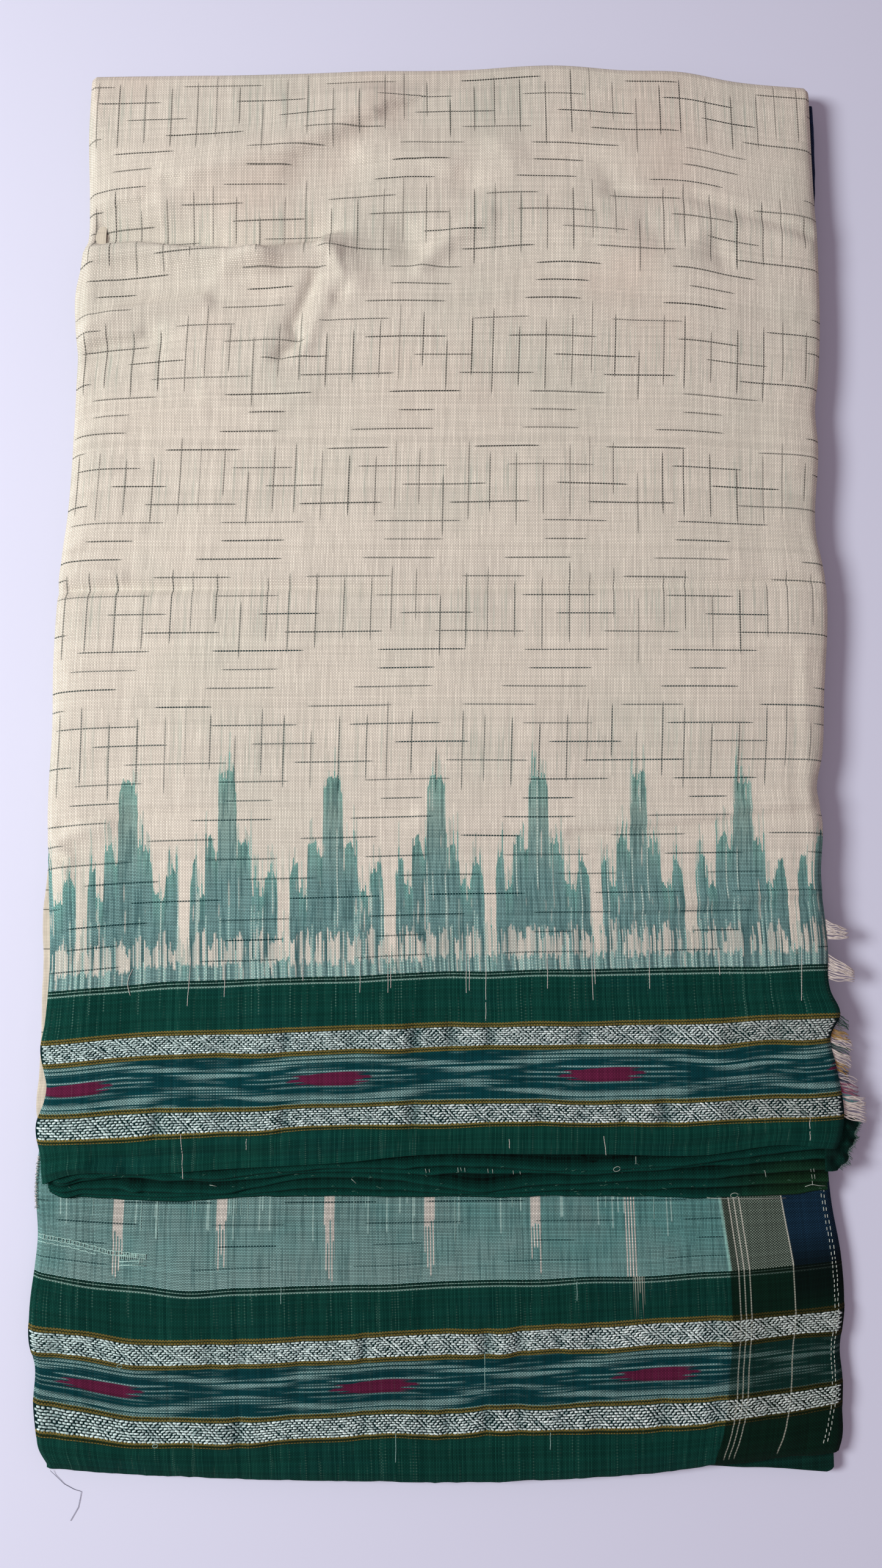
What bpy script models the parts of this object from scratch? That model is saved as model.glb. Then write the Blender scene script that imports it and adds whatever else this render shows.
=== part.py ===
"""A handloom cotton sari, folded flat for the shelf.

The cloth is folded in half four times along its length, into sixteen panels, and once across its width, short
of half, so that the borders along both selvedges show, one above the other. Tables and sizes are in millimetres.
X runs along the sari's length, Y along its width, from the near selvedge to the far fold, and Z is up.
"""

import math

import bmesh
import bpy
import numpy as np

MM = 0.001
SARI_LENGTH = 5500.0
PANELS = 16
PACK_WIDTH = SARI_LENGTH / PANELS
HALF = PACK_WIDTH / 2

WALL = 1.2  # one visible stretch, with the layer pressed against it
LAYER = 1.0  # a selvedge that shows between two stretches
GAP = 0.3
BAR_GAP = 0.5  # between a fold that looks out and the hidden layers, whose outline is coarser
ORIGIN = (2.461, 4.498)  # the middle of the finished pack in the tables' X and Y

# The border, as distances from the selvedge
DOBBY_NEAR = (18.5, 28.0)
DOBBY_FAR = (51.0, 60.5)
BORDER = 82.5
DOBBY_RAISE = 0.35

# Heights
SHELF = 6.6  # top of the hidden layers under the lower stretch
TUCKED = 8.2  # top of the lower stretch where the upper half lies on it
FOLD_TOP = 15.0  # top of the far fold
HIDDEN_BOTTOM = WALL + GAP

# Depths in Y
TUCK_BACK = -166.0  # how far the lower stretch runs in under the upper half
MID_EDGE = -196.0  # where it comes out
LIE_START = -205.0  # in front of this the lower stretch is free to rise
CREASE_ROW = 257.5  # distance from the selvedge of the pressed crease across the top stretch
TOP_LENGTH = 505.0  # from the selvedge to the far fold

# How far each edge stands outside half the pack's width: y, out
LEFT_UPPER = (
    (313, -3.2), (293, -2.8), (238, -3.8), (227, -2.2), (217, 0.2), (182, -1.1), (135, -0.9), (103, 0.4),
    (80, 2.5), (33, 4.3), (2, 3.6), (-25, 4.2), (-62, 2.7), (-106, 0.7), (-128, 1.5), (-138, 2.4),
    (-145, 0.3), (-168, 2.7), (-185, 1.0), (-195, 0.5),
)
RIGHT_UPPER = (
    (313, 1.6), (266, 2.5), (235, 3.6), (169, 1.5), (158, 0.1), (139, 0.9), (94, -1.1), (78, 1.8),
    (18, -0.1), (-6, -1.6), (-23, -4.7), (-36, -2.6), (-61, -3.9), (-93, -1.9), (-113, -1.2), (-123, 2.8),
    (-132, -1.8), (-145, 0.2), (-157, 2.2), (-172, 2.5), (-184, -1.5),
)
LEFT_LOWER = (
    (-166, 3.0), (-199, 5.2), (-221, 3.6), (-232, 4.4), (-251, 6.0), (-263, 5.5), (-272, 2.8), (-288, 2.7),
    (-299, 1.2), (-308, -0.7), (-313, -4.0),
)
RIGHT_LOWER = (
    (-166, -3.0), (-205, -1.2), (-229, 2.4), (-250, 3.0), (-268, 0.5), (-278, 1.3), (-291, 0.8), (-305, 0.2),
    (-310, -1.5),
)

# The far fold's line: x, y of the middle of the fold
FAR_FOLD = (
    (-172, 311.0), (-110, 313.0), (-42, 315.6), (6, 318.1), (52, 321.5), (82, 319.6), (111, 319.2),
    (136, 314.7), (174, 311.6),
)
# The top stretch's own selvedge: x, y
TOP_FRONT = (
    (-172, -196.0), (-164, -192.8), (-125, -191.1), (-86, -188.6), (-47, -186.6), (-7, -182.7), (32, -182.3),
    (72, -182.8), (112, -183.3), (152, -179.0), (172, -181.3),
)
# Where lines of one distance from the selvedge lie: distance, then y at each share of the way across
SHARES = (0.0, 0.25, 0.5, 0.75, 1.0)
TOP_LINES = (
    (18.5, (-176.7, -175.2, -171.1, -168.3, -166.2)),
    (60.5, (-135.8, -133.4, -129.1, -126.0, -122.7)),
    (82.5, (-115.0, -110.4, -105.4, -102.2, -99.3)),
    (257.5, (65.5, 66.5, 68.0, 68.5, 68.0)),
)
LOWER_LINES = (
    (0.0, (-312.0, -317.5, -320.0, -317.5, -309.0)),
    (18.5, (-299.3, -306.0, -302.0, -297.5, -289.5)),
    (28.0, (-285.4, -295.6, -291.5, -287.0, -279.0)),
    (51.0, (-264.8, -274.0, -270.0, -265.5, -260.3)),
    (60.5, (-253.3, -263.5, -259.8, -255.2, -248.1)),
    (82.5, (-230.2, -241.5, -238.0, -236.3, -229.9)),
    (124.5, (MID_EDGE,) * 5),
    (154.5, (TUCK_BACK,) * 5),
)
# Ridges and hollows pressed into the top stretch: start, end, height, half width
CREASES = (
    ((-174, 226), (-86, 225), 1.3, 8.0),
    ((-86, 225), (-52, 229), 1.5, 8.0),
    ((-52, 228), (-45, 214), 1.8, 7.0),
    ((-61, 213), (-70, 184), -0.5, 5.0),
    ((-79, 206), (-85, 180), 0.8, 7.0),
    ((-28, 301), (-106, 274), 0.8, 12.0),
    ((-174, 70), (174, 73), 0.7, 4.0),
    ((-174, 85), (174, 87), 0.4, 5.0),
    ((-174, -39), (82, -38), 0.6, 6.0),
    ((82, -38), (168, -29), 0.6, 6.0),
    ((77, 261), (175, 243), 0.8, 8.0),
    ((-35, -184), (45, -184), 1.2, 15.0),
)
# Hollows and swells of the lower stretch: start, end, height, half width
SWELLS = (
    ((-140, -228), (-90, -245), 0.5, 14.0),
    ((-150, -262), (-60, -268), -0.25, 9.0),
    ((10, -255), (60, -285), 0.45, 16.0),
    ((95, -245), (125, -290), 0.4, 14.0),
    ((150, -230), (150, -290), -0.2, 9.0),
)
# Height of a stretch by its distance from an edge: distance, height
TOP_BY_SIDE = ((0, 13.9), (1.2, 15.0), (3, 15.8), (6, 16.3), (30, 16.9), (60, 17.3))
TOP_BY_FOLD = ((0, FOLD_TOP), (8, 15.75), (20, 16.3), (60, 17.0), (120, 17.6))
LOWER_BY_SIDE = ((0, 6.3), (1.2, 7.4), (3, 8.15), (6, 8.4), (30, 8.8))
LOWER_BY_FRONT = ((0, 7.2), (2, 8.15), (6, 8.5), (20, 8.9))

# The selvedges in the middle, from the upper to the lower: name, top, then y of the edge at each SELVEDGE_X
SELVEDGE_X = (-168, -125, -86, -47, -7, 33, 73, 113, 153, 166)
SELVEDGES = (
    ("mid_selvedge_1", 14.7, (-194.0, -194.8, -191.8, -190.8, -187.7, -189.8, -188.8, -186.3, -182.1, -181.0)),
    ("mid_selvedge_2", 13.4, (-196.5, -197.4, -194.8, -193.4, -193.4, -194.2, -191.4, -190.4, -187.1, -186.0)),
    ("mid_selvedge_3", 12.1, (-198.0, -198.9, -197.4, -196.5, -197.0, -197.0, -195.0, -193.8, -191.7, -191.0)),
    ("mid_selvedge_4", 10.8, (-199.0, -201.5, -199.8, -198.5, -199.1, -200.2, -198.7, -197.7, -196.7, -196.0)),
    ("mid_selvedge_5", 9.5, (-199.5, -203.4, -202.9, -201.7, -202.2, -202.5, -201.5, -202.1, -201.4, -199.0)),
)
SELVEDGE_BACK = -162.0
MOUTH = (5.0, 32.0, 0.9)  # where the uppermost selvedge lifts: x, half width, height

# How far the hidden layers' folds stand outside half the pack's width: y, left, right
HIDDEN_SIDES = (
    (330, -7.0, -2.0), (236, -7.2, -0.8), (170, -4.8, -3.0), (100, -3.4, -4.2), (30, -0.2, -4.5),
    (-35, -0.4, -7.5), (-100, -3.0, -5.8), (-160, -3.2, -5.6), (-203, -1.5, -4.6), (-250, -0.5, -1.5),
    (-290, -1.5, -2.8), (-309, -4.5, -4.8),
)
# The hidden layers' domed top: height, inset from their folds, inset from the far fold
RIDGE_DEPTH = 0.9
RIDGES_TOP = 12.9
SHELF_STEP = 0.6  # how far the upper half's lowest fold stands back on the shelf
LAYER_PITCH = 1.65
DOME = ((14.2, 0.0, 8.0), (14.5, 7.0, 20.0), (15.1, 27.0, 60.0), (15.5, 57.0, 120.0))
HIDDEN_FRONT_UPPER = -158.0
FRONT_INSET = 4.5
FOLD_INNER = 5.6

TORN_EDGE = ((-166.5, 174.5), (-168.5, 180.0), (-172, 182.3), (-178, 181.0), (-185, 178.5), (-190.5, 173.5))
TORN_HEIGHTS = ((166.8, 14.6), (170.5, 13.1), (173.0, 12.0), (182.5, 9.8))


def smooth(table, at):
    """Reads a curve through a table's two columns, smooth at every row."""
    rows = np.array(sorted(table), float)
    place, value = rows[:, 0], rows[:, 1]
    slope = np.gradient(value, place)
    at = np.clip(np.asarray(at, float), place[0], place[-1])
    i = np.clip(np.searchsorted(place, at) - 1, 0, len(place) - 2)
    step = place[i + 1] - place[i]
    k = (at - place[i]) / step
    start = (1 + 2 * k) * (1 - k) ** 2 * value[i] + k * (1 - k) ** 2 * step * slope[i]
    end = k * k * (3 - 2 * k) * value[i + 1] - k * k * (1 - k) * step * slope[i + 1]
    return start + end


def straight(table, at):
    """Reads a table's two columns with straight runs between its rows."""
    rows = np.array(sorted(table), float)
    return np.interp(at, rows[:, 0], rows[:, 1])


def side_x(left, right, y):
    """The left and right edges at y, from their tables."""
    return -HALF - smooth(left, y), HALF + smooth(right, y)


def line_y(lines, distance, share):
    """Y of the line that lies this far from the selvedge, at a share of the way across."""
    across = [smooth(tuple(zip(SHARES, ys)), share) for _, ys in lines]
    return np.interp(distance, [row[0] for row in lines], across)


def top_y(distance, share):
    """Y of the top stretch, from its own selvedge to the far fold."""
    x = -HALF + share * PACK_WIDTH
    front = float(smooth(TOP_FRONT, x))
    fold = float(smooth(FAR_FOLD, x))
    places = [0.0] + [row[0] for row in TOP_LINES] + [TOP_LENGTH]
    values = [front] + [float(smooth(tuple(zip(SHARES, ys)), share)) for _, ys in TOP_LINES] + [fold]
    return float(np.interp(distance, places, values))


def pressed(table, x, y):
    """How much the ridges and hollows of a table lift the cloth at a place."""
    lift = 0.0
    for start, end, height, width in table:
        run = np.subtract(end, start)
        along = np.clip(np.dot(np.subtract((x, y), start), run) / np.dot(run, run), 0, 1)
        away = math.hypot(*(np.subtract((x, y), start) - along * run))
        lift += height * math.exp(-((away / width) ** 2))
    return lift


def raised(distance):
    """How much a dobby band stands above the plain weave."""
    inside = any(low <= distance <= high for low, high in (DOBBY_NEAR, DOBBY_FAR))
    return DOBBY_RAISE if inside else 0.0


def new_object(name, bm, collection, colour, roughness):
    """Puts a closed mesh, in millimetres, into the model, with its faces pointing out and its own material."""
    bmesh.ops.recalc_face_normals(bm, faces=bm.faces)
    if bm.calc_volume(signed=True) < 0:
        bmesh.ops.reverse_faces(bm, faces=bm.faces)
    bmesh.ops.translate(bm, verts=bm.verts, vec=(-ORIGIN[0], -ORIGIN[1], 0))
    bmesh.ops.scale(bm, verts=bm.verts, vec=(MM, MM, MM))
    mesh = bpy.data.meshes.new(name)
    bm.to_mesh(mesh)
    bm.free()
    mesh.shade_smooth()
    mesh.set_sharp_from_angle(angle=math.radians(40))
    ob = bpy.data.objects.new(name, mesh)
    collection.objects.link(ob)
    material = bpy.data.materials.new(name)
    material.use_nodes = True
    shader = material.node_tree.nodes["Principled BSDF"]
    shader.inputs["Base Color"].default_value = (*colour, 1)
    shader.inputs["Roughness"].default_value = roughness
    shader.inputs["Metallic"].default_value = 0.0
    mesh.materials.append(material)
    return ob


def wall(outer, inner):
    """A closed wall between two grids of points that have the same rows and columns."""
    bm = bmesh.new()
    rows, columns = len(outer), len(outer[0])
    out = [[bm.verts.new(p) for p in row] for row in outer]
    back = [[bm.verts.new(p) for p in row] for row in inner]
    for j in range(rows - 1):
        for i in range(columns - 1):
            bm.faces.new((out[j][i], out[j][i + 1], out[j + 1][i + 1], out[j + 1][i]))
            bm.faces.new((back[j][i], back[j + 1][i], back[j + 1][i + 1], back[j][i + 1]))
    rim = [(j, 0) for j in range(rows)] + [(rows - 1, i) for i in range(1, columns)]
    rim += [(j, columns - 1) for j in range(rows - 2, -1, -1)] + [(0, i) for i in range(columns - 2, 0, -1)]
    for (j, i), (n, m) in zip(rim, rim[1:] + rim[:1]):
        bm.faces.new((out[j][i], out[n][m], back[n][m], back[j][i]))
    return bm


def loft(sections):
    """A closed solid through rings of points that all have the same number of points."""
    bm = bmesh.new()
    rings = [[bm.verts.new(p) for p in ring] for ring in sections]
    count = len(rings[0])
    for first, second in zip(rings, rings[1:]):
        for i in range(count):
            n = (i + 1) % count
            bm.faces.new((first[i], first[n], second[n], second[i]))
    bm.faces.new(rings[0])
    bm.faces.new(rings[-1])
    return bm


def spread(low, high, step):
    """Evenly spaced places from low to high, about a step apart."""
    return list(np.linspace(low, high, max(2, round((high - low) / step) + 1)))


def columns():
    """Shares of the way across where a stretch has its points: closer by its edges, which roll down."""
    near = [0.0, 1.2, 3.0, 7.0, 15.0]
    places = near[:-1] + spread(near[-1], PACK_WIDTH - near[-1], 13.0) + [PACK_WIDTH - e for e in near[-2::-1]]
    return [p / PACK_WIDTH for p in places]


def band_rows():
    """Distances of the rows through the border: a pair where each dobby band starts and ends."""
    step = 0.5
    edges = [e for band in (DOBBY_NEAR, DOBBY_FAR) for e in band]
    pairs = [e - step if k % 2 == 0 else e + step for k, e in enumerate(edges)]
    return sorted(edges + pairs)


def top_height(x, y, side, fold):
    """Height of the top stretch, from its distance to the nearer side and to the far fold."""
    return min(straight(TOP_BY_SIDE, side), straight(TOP_BY_FOLD, fold)) + pressed(CREASES, x, y)


def top_stretch(collection):
    """The outermost panel: the top face from its selvedge, and round the far fold to the table."""
    border = [0.0, 2.0, 9.0] + band_rows() + [39.5, 71.0, BORDER]
    field = spread(BORDER, TOP_LENGTH, 15.0)[1:]
    creases = [CREASE_ROW - 4, CREASE_ROW + 3.5, CREASE_ROW + 10, CREASE_ROW + 18]
    distances = sorted(border + [d for d in field if min(abs(d - c) for c in creases) > 5] + creases)
    outer, inner = [], []
    for distance in distances:
        row_out, row_in = [], []
        for share in columns():
            y = top_y(distance, share)
            left, right = side_x(LEFT_UPPER, RIGHT_UPPER, y)
            x = left + share * (right - left)
            fold = float(smooth(FAR_FOLD, x)) - y
            z = top_height(x, y, min(x - left, right - x), max(fold, 0))
            edge = 0.4 if distance == 0 else 0.0
            row_out.append((x, y, z + raised(distance) - edge))
            row_in.append((x, y, z - WALL))
        outer.append(row_out)
        inner.append(row_in)
    last = list(zip(outer[-1], inner[-1]))
    for angle in (60, 30, 0, -30, -60, -90):
        way = math.radians(angle)
        row_out, row_in = [], []
        for (x, y, top), _ in last:
            radius = top / 2
            for row, r in ((row_out, radius), (row_in, radius - WALL)):
                row.append((x, y + r * math.cos(way), radius + r * math.sin(way)))
        outer.append(row_out)
        inner.append(row_in)
    return new_object("top_stretch", wall(outer, inner), collection, (0.62, 0.53, 0.39), 0.85)


def lower_height(x, y, side, front):
    """Height of the lower stretch, flat where the upper half lies on it."""
    free = min(straight(LOWER_BY_SIDE, side), straight(LOWER_BY_FRONT, front)) + pressed(SWELLS, x, y)
    held = min(TUCKED, straight(LOWER_BY_SIDE, side))
    share = np.clip((LIE_START - y) / 8.0, 0, 1)
    return held + share * (max(free, held - 1.2) - held)


def lower_stretch(collection):
    """The panel of the longer half that shows in front of the fold."""
    distances = sorted([0.0, 2.0, 6.0, 12.0] + band_rows() + [39.5, 71.0, BORDER, 95.0, 108.0, 124.5, 154.5])
    outer, inner = [], []
    for distance in distances:
        row_out, row_in = [], []
        for share in columns():
            y = float(line_y(LOWER_LINES, distance, share))
            left, right = side_x(LEFT_LOWER, RIGHT_LOWER, y)
            x = left + share * (right - left)
            front = y - float(line_y(LOWER_LINES, 0.0, share))
            z = lower_height(x, y, min(x - left, right - x), front)
            row_out.append((x, y, z + raised(distance)))
            row_in.append((x, y, z - WALL))
        outer.append(row_out)
        inner.append(row_in)
    return new_object("lower_stretch", wall(outer, inner), collection, (0.10, 0.30, 0.26), 0.8)


def low_sides(y):
    """The pack's left and right edges at any y, near the table."""
    upper = side_x(LEFT_UPPER, RIGHT_UPPER, y)
    lower = side_x(LEFT_LOWER, RIGHT_LOWER, y)
    share = float(np.clip((-160 - y) / 20.0, 0, 1))
    return [u + share * (w - u) for u, w in zip(upper, lower)]


def under_stretch(collection):
    """The panel that lies on the table, flat, from the far fold to the near selvedge."""
    shares = spread(0, 1, 1 / 12)
    rows = spread(0, 1, 1 / 22)
    low, high = [], []
    for k in rows:
        row_low, row_high = [], []
        for share in shares:
            x_mid = -HALF + share * PACK_WIDTH
            back = float(smooth(FAR_FOLD, x_mid)) - GAP
            front = float(line_y(LOWER_LINES, 0.0, share)) + 1.0
            y = back + k * (front - back)
            left, right = low_sides(y)
            x = left + 1.0 + share * (right - left - 2.0)
            row_low.append((x, y, 0.0))
            row_high.append((x, y, WALL))
        low.append(row_low)
        high.append(row_high)
    return new_object("under_stretch", wall(low, high), collection, (0.60, 0.52, 0.40), 0.9)


def mid_selvedge(collection, name, top, edge):
    """One green selvedge: a wall from under the top stretch to its own wavy edge."""
    table = tuple(zip(SELVEDGE_X, edge))
    x_mouth, width, height = MOUTH
    lifts = name == SELVEDGES[0][0]
    outer, inner = [], []
    for k in (0.0, 0.45, 0.8, 0.93, 1.0):
        row_out, row_in = [], []
        for x in spread(SELVEDGE_X[0] + 1.0, SELVEDGE_X[-1] - 0.5, 11.0):
            y = SELVEDGE_BACK + k * (float(smooth(table, x)) - SELVEDGE_BACK)
            lift = height * math.exp(-(((x - x_mouth) / width) ** 2)) * k if lifts else 0.0
            thin = 0.25 if k == 1.0 else 0.0
            row_out.append((x, y, top + lift - thin))
            row_in.append((x, y, top + lift - LAYER + thin))
        outer.append(row_out)
        inner.append(row_in)
    return new_object(name, wall(outer, inner), collection, (0.01, 0.11, 0.07), 0.8)


def hidden_x(y):
    """Where the hidden layers' folds lie at the left and right, at any y."""
    left = smooth([(row[0], row[1]) for row in HIDDEN_SIDES], y)
    right = smooth([(row[0], row[2]) for row in HIDDEN_SIDES], y)
    return float(-HALF - left), float(HALF + right)


def hidden_ring(z, inset, back, whole):
    """The hidden layers' outline at one height: down the left, along the front, up the right and back.

    It reaches the near selvedge if whole, or else only the middle edge.
    """
    rear = HIDDEN_FRONT_UPPER
    far = [float(smooth(FAR_FOLD, x)) + back for x in (-HALF, HALF)]
    down = spread(0, 1, 1 / 13)
    on = spread(0, 1, 1 / 6)[1:]
    across = spread(0, 1, 1 / 13)[1:-1]
    near = [float(line_y(LOWER_LINES, 0.0, share)) + FRONT_INSET for share in (0.0, 1.0)]
    left_y = [far[0] + k * (rear - far[0]) for k in down]
    right_y = [far[1] + k * (rear - far[1]) for k in down]
    left = [(hidden_x(y)[0] + inset, y) for y in left_y]
    right = [(hidden_x(y)[1] - inset, y) for y in right_y]
    if whole:
        low = [(hidden_x(y)[0] + inset, y) for y in (rear + k * (near[0] - rear) for k in on)]
        rise = [(hidden_x(y)[1] - inset, y) for y in (rear + k * (near[1] - rear) for k in on)]
        edge = [(float(line_y(LOWER_LINES, 0.0, k)) + FRONT_INSET + inset, k) for k in across]
        front = low + [(low[-1][0] + k * (rise[-1][0] - low[-1][0]), y) for y, k in edge] + rise[::-1]
    else:
        count = 2 * len(on) + len(across)
        reach = right[-1][0] - left[-1][0]
        front = [(left[-1][0] + (k + 1) / (count + 1) * reach, rear) for k in range(count)]
    span = right[0][0] - left[0][0]
    rim = [left[0][0] + k * span for k in reversed(across)]
    ring = left + front + right[::-1] + [(x, float(smooth(FAR_FOLD, x)) + back) for x in rim]
    return [(x, y, z) for x, y in ring]


def far_end(z):
    """How far the hidden layers reach past the far fold's middle, inside its curve."""
    middle = FOLD_TOP / 2
    return math.sqrt(max(FOLD_INNER**2 - (z - middle) ** 2, 0.0))


def hidden_layers(collection):
    """All the folds that do not show: one solid, ridged at its edges like the folds of a stack."""
    rings = []
    for low, high, whole in ((HIDDEN_BOTTOM, SHELF, True), (SHELF, RIDGES_TOP, False)):
        ridges = round((high - low) / LAYER_PITCH)
        for k in range(2 * ridges + 1):
            z = low + k * (high - low) / (2 * ridges)
            inset = RIDGE_DEPTH if k % 2 == 0 else 0.0
            step = SHELF_STEP if k == 0 and not whole else 0.0
            rings.append(hidden_ring(z, inset + step, far_end(z), whole))
    for z, inset, back in DOME:
        rings.append(hidden_ring(z, inset, -back, False))
    return new_object("hidden_layers", loft(rings), collection, (0.45, 0.40, 0.31), 0.9)


def fold_bar(collection, name, stations, colour):
    """A folded edge that looks out of the stack: a rounded flat bar.

    Each station gives the bar's inner and outer place in plan, and its lowest and highest height.
    """
    sections = []
    for inner, outer, low, high in stations:
        inner, outer = np.array(inner, float), np.array(outer, float)
        way = (outer - inner) / np.linalg.norm(outer - inner)
        middle, half = (low + high) / 2, (high - low) / 2
        ring = [(*inner, low), (*inner, high)]
        for angle in (90, 45, 0, -45, -90):
            a = math.radians(angle)
            place = outer - way * half + way * half * math.cos(a)
            ring.append((*place, middle + half * math.sin(a)))
        sections.append(ring)
    return new_object(name, loft(sections), collection, colour, 0.85)


def left_fold(collection):
    """The cream fold that looks out under the left edge."""
    stations = []
    for y in spread(-194, 15, 19):
        left = low_sides(y)[0]
        out = 1.2 * math.sin(math.pi * (15 - y) / 209)
        stations.append(((hidden_x(y)[0] - BAR_GAP, y), (left - out - 0.4, y), 10.0, 12.2))
    return fold_bar(collection, "left_fold", stations, (0.62, 0.53, 0.39))


def end_hem(collection):
    """The navy end of the cloth that looks out at the right edge, by the far fold."""
    stations = []
    for y, out in ((245, 0.4), (262, 2.0), (280, 3.0), (298, 3.6), (309, 3.2)):
        right = low_sides(y)[1]
        stations.append(((hidden_x(y)[1] + BAR_GAP, y), (right + out, y), 9.6, 11.6))
    return fold_bar(collection, "end_hem", stations, (0.02, 0.04, 0.10))


def bottom_edge_layer(collection):
    """The selvedge that looks out under the lower panel's right corner."""
    stations = []
    for x, y_out in ((100, -315.5), (112, -315.6), (130, -316.4), (148, -317.0), (160, -318.0), (166, -318.6)):
        share = (x + HALF) / PACK_WIDTH
        inner = float(line_y(LOWER_LINES, 0.0, share)) + FRONT_INSET - BAR_GAP
        stations.append(((x, inner), (x, y_out), 4.1, 5.6))
    return fold_bar(collection, "bottom_edge_layer", stations, (0.01, 0.10, 0.07))


def torn_corner(collection):
    """The raw corner of the end panel: a small flap that droops past the right edge."""
    outer, inner = [], []
    for y in (-166.5, -168.5, -172, -178, -185, -190.5):
        row_out, row_in = [], []
        tip = float(straight(TORN_EDGE, y))
        for k in (0.0, 0.2, 0.42, 0.65, 0.85, 1.0):
            x = 166.8 + k * (tip - 166.8)
            z = float(smooth(TORN_HEIGHTS, x)) + 0.35 * math.sin(0.9 * y) * k
            row_out.append((x, y, z))
            row_in.append((x, y, z - LAYER))
        outer.append(row_out)
        inner.append(row_in)
    return new_object("torn_corner", wall(outer, inner), collection, (0.01, 0.12, 0.07), 0.85)


def fringe(collection, cutters, name, rows, sides, colour):
    """Threads that stand out of a narrow strip inside the right edge.

    Each row gives a thread's y at its root, x and y at its tip, and height at its root and tip.
    """
    ys = [row[0] for row in rows]
    stations = []
    for y in spread(min(ys) - 1.2, max(ys) + 1.2, 6.0):
        right = low_sides(y)[1]
        stations.append([(right - a, y, z) for a, z in ((3.0, 11.4), (1.3, 11.4), (1.3, 13.1), (3.0, 13.1))])
    backing = new_object(name, loft(stations), collection, colour, 0.9)
    for k, (y, tip_x, tip_y, root_z, tip_z) in enumerate(rows):
        right = low_sides(y)[1]
        start = np.array((right - 2.0, y, root_z))
        end = np.array((tip_x, tip_y, tip_z))
        rings = []
        for s in (0.0, 0.35, 0.7, 1.0):
            middle = start + s * (end - start)
            middle[2] += 1.0 * math.sin(math.pi * s)
            radius = 0.5 * (1 - 0.35 * s)
            turn = 0.6 * k
            rings.append(
                [
                    (
                        middle[0],
                        middle[1] + radius * math.cos(turn + 2 * math.pi * i / sides),
                        middle[2] + radius * math.sin(turn + 2 * math.pi * i / sides),
                    )
                    for i in range(sides)
                ]
            )
        thread = new_object(f"{name}_thread_{k}", loft(rings), cutters, colour, 0.9)
        thread.hide_render = True
        thread.display_type = "WIRE"
        join = backing.modifiers.new(f"thread_{k}", "BOOLEAN")
        join.operation = "UNION"
        join.object = thread
    return backing


def tuft_rows(y_first, y_last, count, tip_x, tip_y, gather):
    """Threads of a tuft: their tips gather towards one place."""
    rows = []
    for k in range(count):
        s = k / (count - 1)
        y = y_first + s * (y_last - y_first)
        reach = tip_x - 2.2 * abs(s - 0.6)
        rows.append((y, reach, tip_y + gather * (y - tip_y), 12.0 + 0.3 * (k % 2), 9.6 + 0.5 * (k % 3)))
    return rows


def fringe_rows():
    """The border's warp ends: y at the root, then x and y at the tip, evenly along the border."""
    rows = []
    count = 20
    for k in range(count):
        y = -126.0 - 1.93 * k
        reach = 179.5 + 1.6 * math.sin(1.7 * k) + 2.2 * (k / count)
        rows.append((y, reach, y - 2.6 - 1.2 * math.sin(0.9 * k), 12.0 + 0.3 * (k % 2), 9.4 + 0.6 * (k % 3)))
    return rows


def build():
    for ob in list(bpy.data.objects):
        bpy.data.objects.remove(ob)
    scene = bpy.context.scene.collection
    sari = bpy.data.collections.new("folded_sari")
    cutters = bpy.data.collections.new("cutters")
    scene.children.link(sari)
    scene.children.link(cutters)
    top_stretch(sari)
    lower_stretch(sari)
    under_stretch(sari)
    hidden_layers(sari)
    for name, top, edge in SELVEDGES:
        mid_selvedge(sari, name, top, edge)
    left_fold(sari)
    end_hem(sari)
    bottom_edge_layer(sari)
    torn_corner(sari)
    undyed = (0.72, 0.66, 0.56)
    fringe(sari, cutters, "end_tuft_upper", tuft_rows(-81.5, -90.0, 6, 178.0, -88.0, 0.55), 3, undyed)
    fringe(sari, cutters, "end_tuft_lower", tuft_rows(-97.0, -107.0, 7, 180.5, -104.5, 0.6), 3, undyed)
    fringe(sari, cutters, "end_fringe", fringe_rows(), 3, (0.35, 0.28, 0.12))


build()
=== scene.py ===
"""The looks of the folded sari.

Cloth sizes and places are in millimetres in the tables' frame, as in the part's source: X along the
sari's length, Y across its width, Z up. S runs along the warp from the middle of a panel, T from the
selvedge towards the field.
"""

import math

import bpy
import numpy as np
from mathutils import Matrix, Vector

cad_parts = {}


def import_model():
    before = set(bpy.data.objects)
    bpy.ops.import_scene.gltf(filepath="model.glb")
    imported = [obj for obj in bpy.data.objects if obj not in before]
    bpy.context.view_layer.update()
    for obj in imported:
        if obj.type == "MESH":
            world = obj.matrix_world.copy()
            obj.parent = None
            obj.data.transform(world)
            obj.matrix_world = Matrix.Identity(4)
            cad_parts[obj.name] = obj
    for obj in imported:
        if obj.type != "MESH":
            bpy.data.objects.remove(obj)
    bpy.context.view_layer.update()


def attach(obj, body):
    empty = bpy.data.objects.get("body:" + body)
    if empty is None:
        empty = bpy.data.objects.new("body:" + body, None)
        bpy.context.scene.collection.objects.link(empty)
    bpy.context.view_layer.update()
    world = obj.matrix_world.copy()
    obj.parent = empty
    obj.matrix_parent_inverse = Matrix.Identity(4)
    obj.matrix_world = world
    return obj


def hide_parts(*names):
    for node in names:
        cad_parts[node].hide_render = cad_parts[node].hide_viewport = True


MM = 0.001
PACK_WIDTH = 343.75
HALF = PACK_WIDTH / 2
ORIGIN = (2.461, 4.498)
PITCH = 0.62  # from thread to thread
END_START = 121.2  # X where the stripes of the sari's end start
TOP_LENGTH = 505.0
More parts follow.
